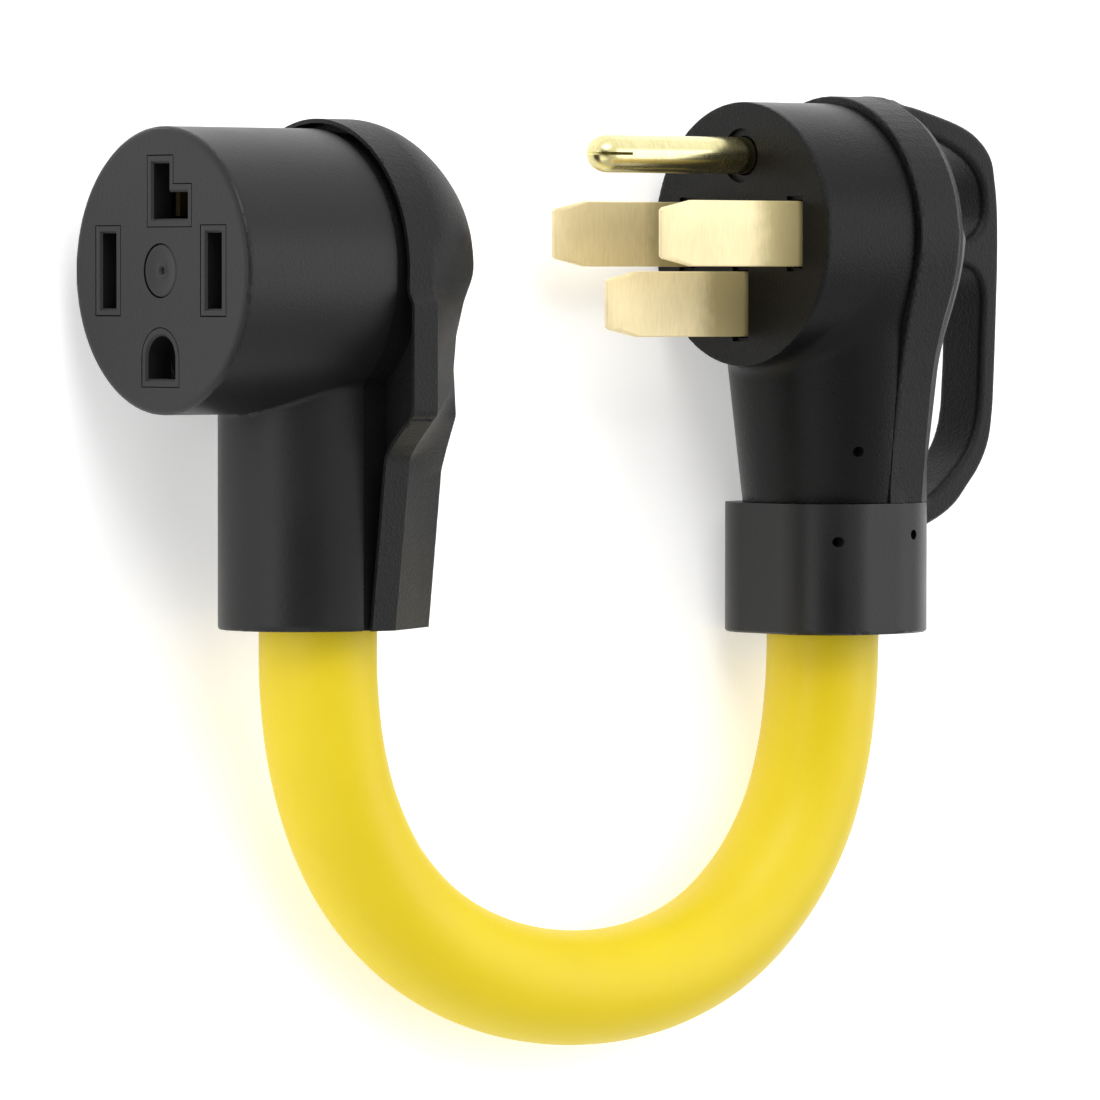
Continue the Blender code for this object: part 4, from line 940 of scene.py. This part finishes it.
def route_points(pieces):
    """A centripetal Catmull-Rom curve through the route and the cable's straight ends in the connectors."""
    start = [SOCKET_MATRIX @ (Vector((x, SOCKET_STEM_AXIS, 0.0)) * MM) for x in (50.0, 60.0)]
    end = [PLUG_MATRIX @ (Vector((x, PLUG_CABLE_AXIS, 0.0)) * MM) for x in (70.0, 58.0, 46.0)]
    knots = start + [ROUTE_ORIGIN + Vector(point) * MM for point in ROUTE] + end
    knots = [knots[0] * 2 - knots[1]] + knots + [knots[-1] * 2 - knots[-2]]
    points = []
    for a, b, c, d in zip(knots, knots[1:], knots[2:], knots[3:]):
        t1 = (b - a).length ** 0.5
        t2 = t1 + (c - b).length ** 0.5
        t3 = t2 + (d - c).length ** 0.5
        for i in range(pieces):
            t = t1 + (t2 - t1) * i / pieces
            p = a.lerp(b, t / t1), b.lerp(c, (t - t1) / (t2 - t1)), c.lerp(d, (t - t2) / (t3 - t2))
            q = p[0].lerp(p[1], t / t2), p[1].lerp(p[2], (t - t1) / (t3 - t1))
            points.append(q[0].lerp(q[1], (t - t1) / (t2 - t1)))
    return points + [knots[-2]]


def make_cable():
    points = route_points(pieces=9)
    curve = bpy.data.curves.new("yellow_cable", "CURVE")
    curve.dimensions = "3D"
    curve.bevel_depth = CABLE_RADIUS * MM
    curve.bevel_resolution = 22
    spline = curve.splines.new("POLY")
    spline.points.add(len(points) - 1)
    for knot, point in zip(spline.points, points):
        knot.co = (*point, 1.0)
    spline.use_smooth = True
    cable = bpy.data.objects.new("yellow_cable", curve)
    curve.materials.append(YELLOW)
    bpy.context.scene.collection.objects.link(cable)
    wall = cable.modifiers.new("wall", "SOLIDIFY")
    wall.thickness = JACKET_WALL * MM
    wall.offset = -1.0
    wall.use_even_offset = True
    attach(cable, "root")
    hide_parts("cable_jacket")


# ---------------------------------------------------------------- inner nodes that stay

def finish_inner_nodes():
    """Better materials on the CAD nodes whose shape stays: contacts, crimps, cores and filler."""
    finishes = {"cable_filler": PAPER}
    for name, insulation in INSULATION.items():
        finishes[f"cable_core_{name}"] = insulation
        # The contacts take the near-black brass, which is painted shade of the slots.
        finishes[f"socket_contact_{name}"] = CONTACT_BRASS_PAINTED_SHADE
        for prefix in ("socket", "plug"):
            finishes[f"{prefix}_crimp_{name}"] = TINNED
    for name, material in finishes.items():
        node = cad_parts[name]
        node.data.materials.clear()
        node.data.materials.append(material)


# ---------------------------------------------------------------- floor and light

def make_floor():
    """A white sweep that also glows a little, as a lit studio floor does."""
    half = 6.0
    white = Nodes("studio_white")
    tone = white.noise(1.2, 2.0, 0.5)
    white.set(Base_Color=white.blend(tone, (0.84, 0.84, 0.84), (0.86, 0.86, 0.86)), Roughness=0.9,
              Emission_Color=(1.0, 1.0, 1.0, 1.0), Emission_Strength=0.4)
    mesh = bpy.data.meshes.new("floor")
    corners = [(-half, -half, 0.0), (half, -half, 0.0), (half, half, 0.0), (-half, half, 0.0)]
    mesh.from_pydata(corners, [], [(0, 1, 2, 3)])
    mesh.materials.append(white.material)
    floor = bpy.data.objects.new("floor", mesh)
    bpy.context.scene.collection.objects.link(floor)


def make_sky():
    """A white studio with a dark patch above the faces, and brighter towards the cable's end."""
    world = bpy.data.worlds.new("studio")
    world.use_nodes = True
    tree = world.node_tree
    background = tree.nodes["Background"]
    background.inputs["Color"].default_value = (1.0, 1.0, 1.0, 1.0)
    direction = tree.nodes.new("ShaderNodeTexCoord").outputs["Generated"]

    def towards(axis, ends, levels):
        """How bright the sky is for its angle to an axis: from one level to another between two cosines."""
        dot = tree.nodes.new("ShaderNodeVectorMath")
        dot.operation = "DOT_PRODUCT"
        dot.inputs[1].default_value = axis
        tree.links.new(direction, dot.inputs[0])
        ramp = tree.nodes.new("ShaderNodeMapRange")
        ramp.interpolation_type = "SMOOTHSTEP"
        for key, value in zip(("From Min", "From Max", "To Min", "To Max"), (*ends, *levels)):
            ramp.inputs[key].default_value = value
        tree.links.new(dot.outputs["Value"], ramp.inputs["Value"])
        return ramp.outputs["Result"]

    product = tree.nodes.new("ShaderNodeMath")
    product.operation = "MULTIPLY"
    tree.links.new(towards((0.05, -0.64, 0.77), (0.80, 0.97), (1.0, 0.1)), product.inputs[0])
    tree.links.new(towards((-1.0, 0.0, 0.0), (-0.9, 0.9), (0.65, 1.25)), product.inputs[1])
    tree.links.new(product.outputs[0], background.inputs["Strength"])
    bpy.context.scene.world = world


def make_lights():
    """Broad soft lights, all turned to the middle of the cord."""
    middle = Vector((0.03, 0.0, 0.02))
    for name, place, size, power in (("key", (-1.1, -0.5, 1.3), 0.9, 10.0),
                                     ("fill", (0.9, -1.0, 0.9), 1.0, 3.0),
                                     ("back", (0.1, 1.2, 1.1), 1.2, 6.0),
                                     ("left", (0.0, -1.3, 0.45), 0.7, 2.5)):
        light = bpy.data.lights.new(name, "AREA")
        light.size = size
        light.energy = power
        lamp = bpy.data.objects.new(name, light)
        lamp.location = place
        lamp.rotation_euler = (Vector(place) - middle).to_track_quat("Z", "Y").to_euler()
        bpy.context.scene.collection.objects.link(lamp)
    bpy.context.scene.view_settings.view_transform = "Standard"


make_cable()
make_socket()
make_plug()
finish_inner_nodes()
make_floor()
make_sky()
make_lights()
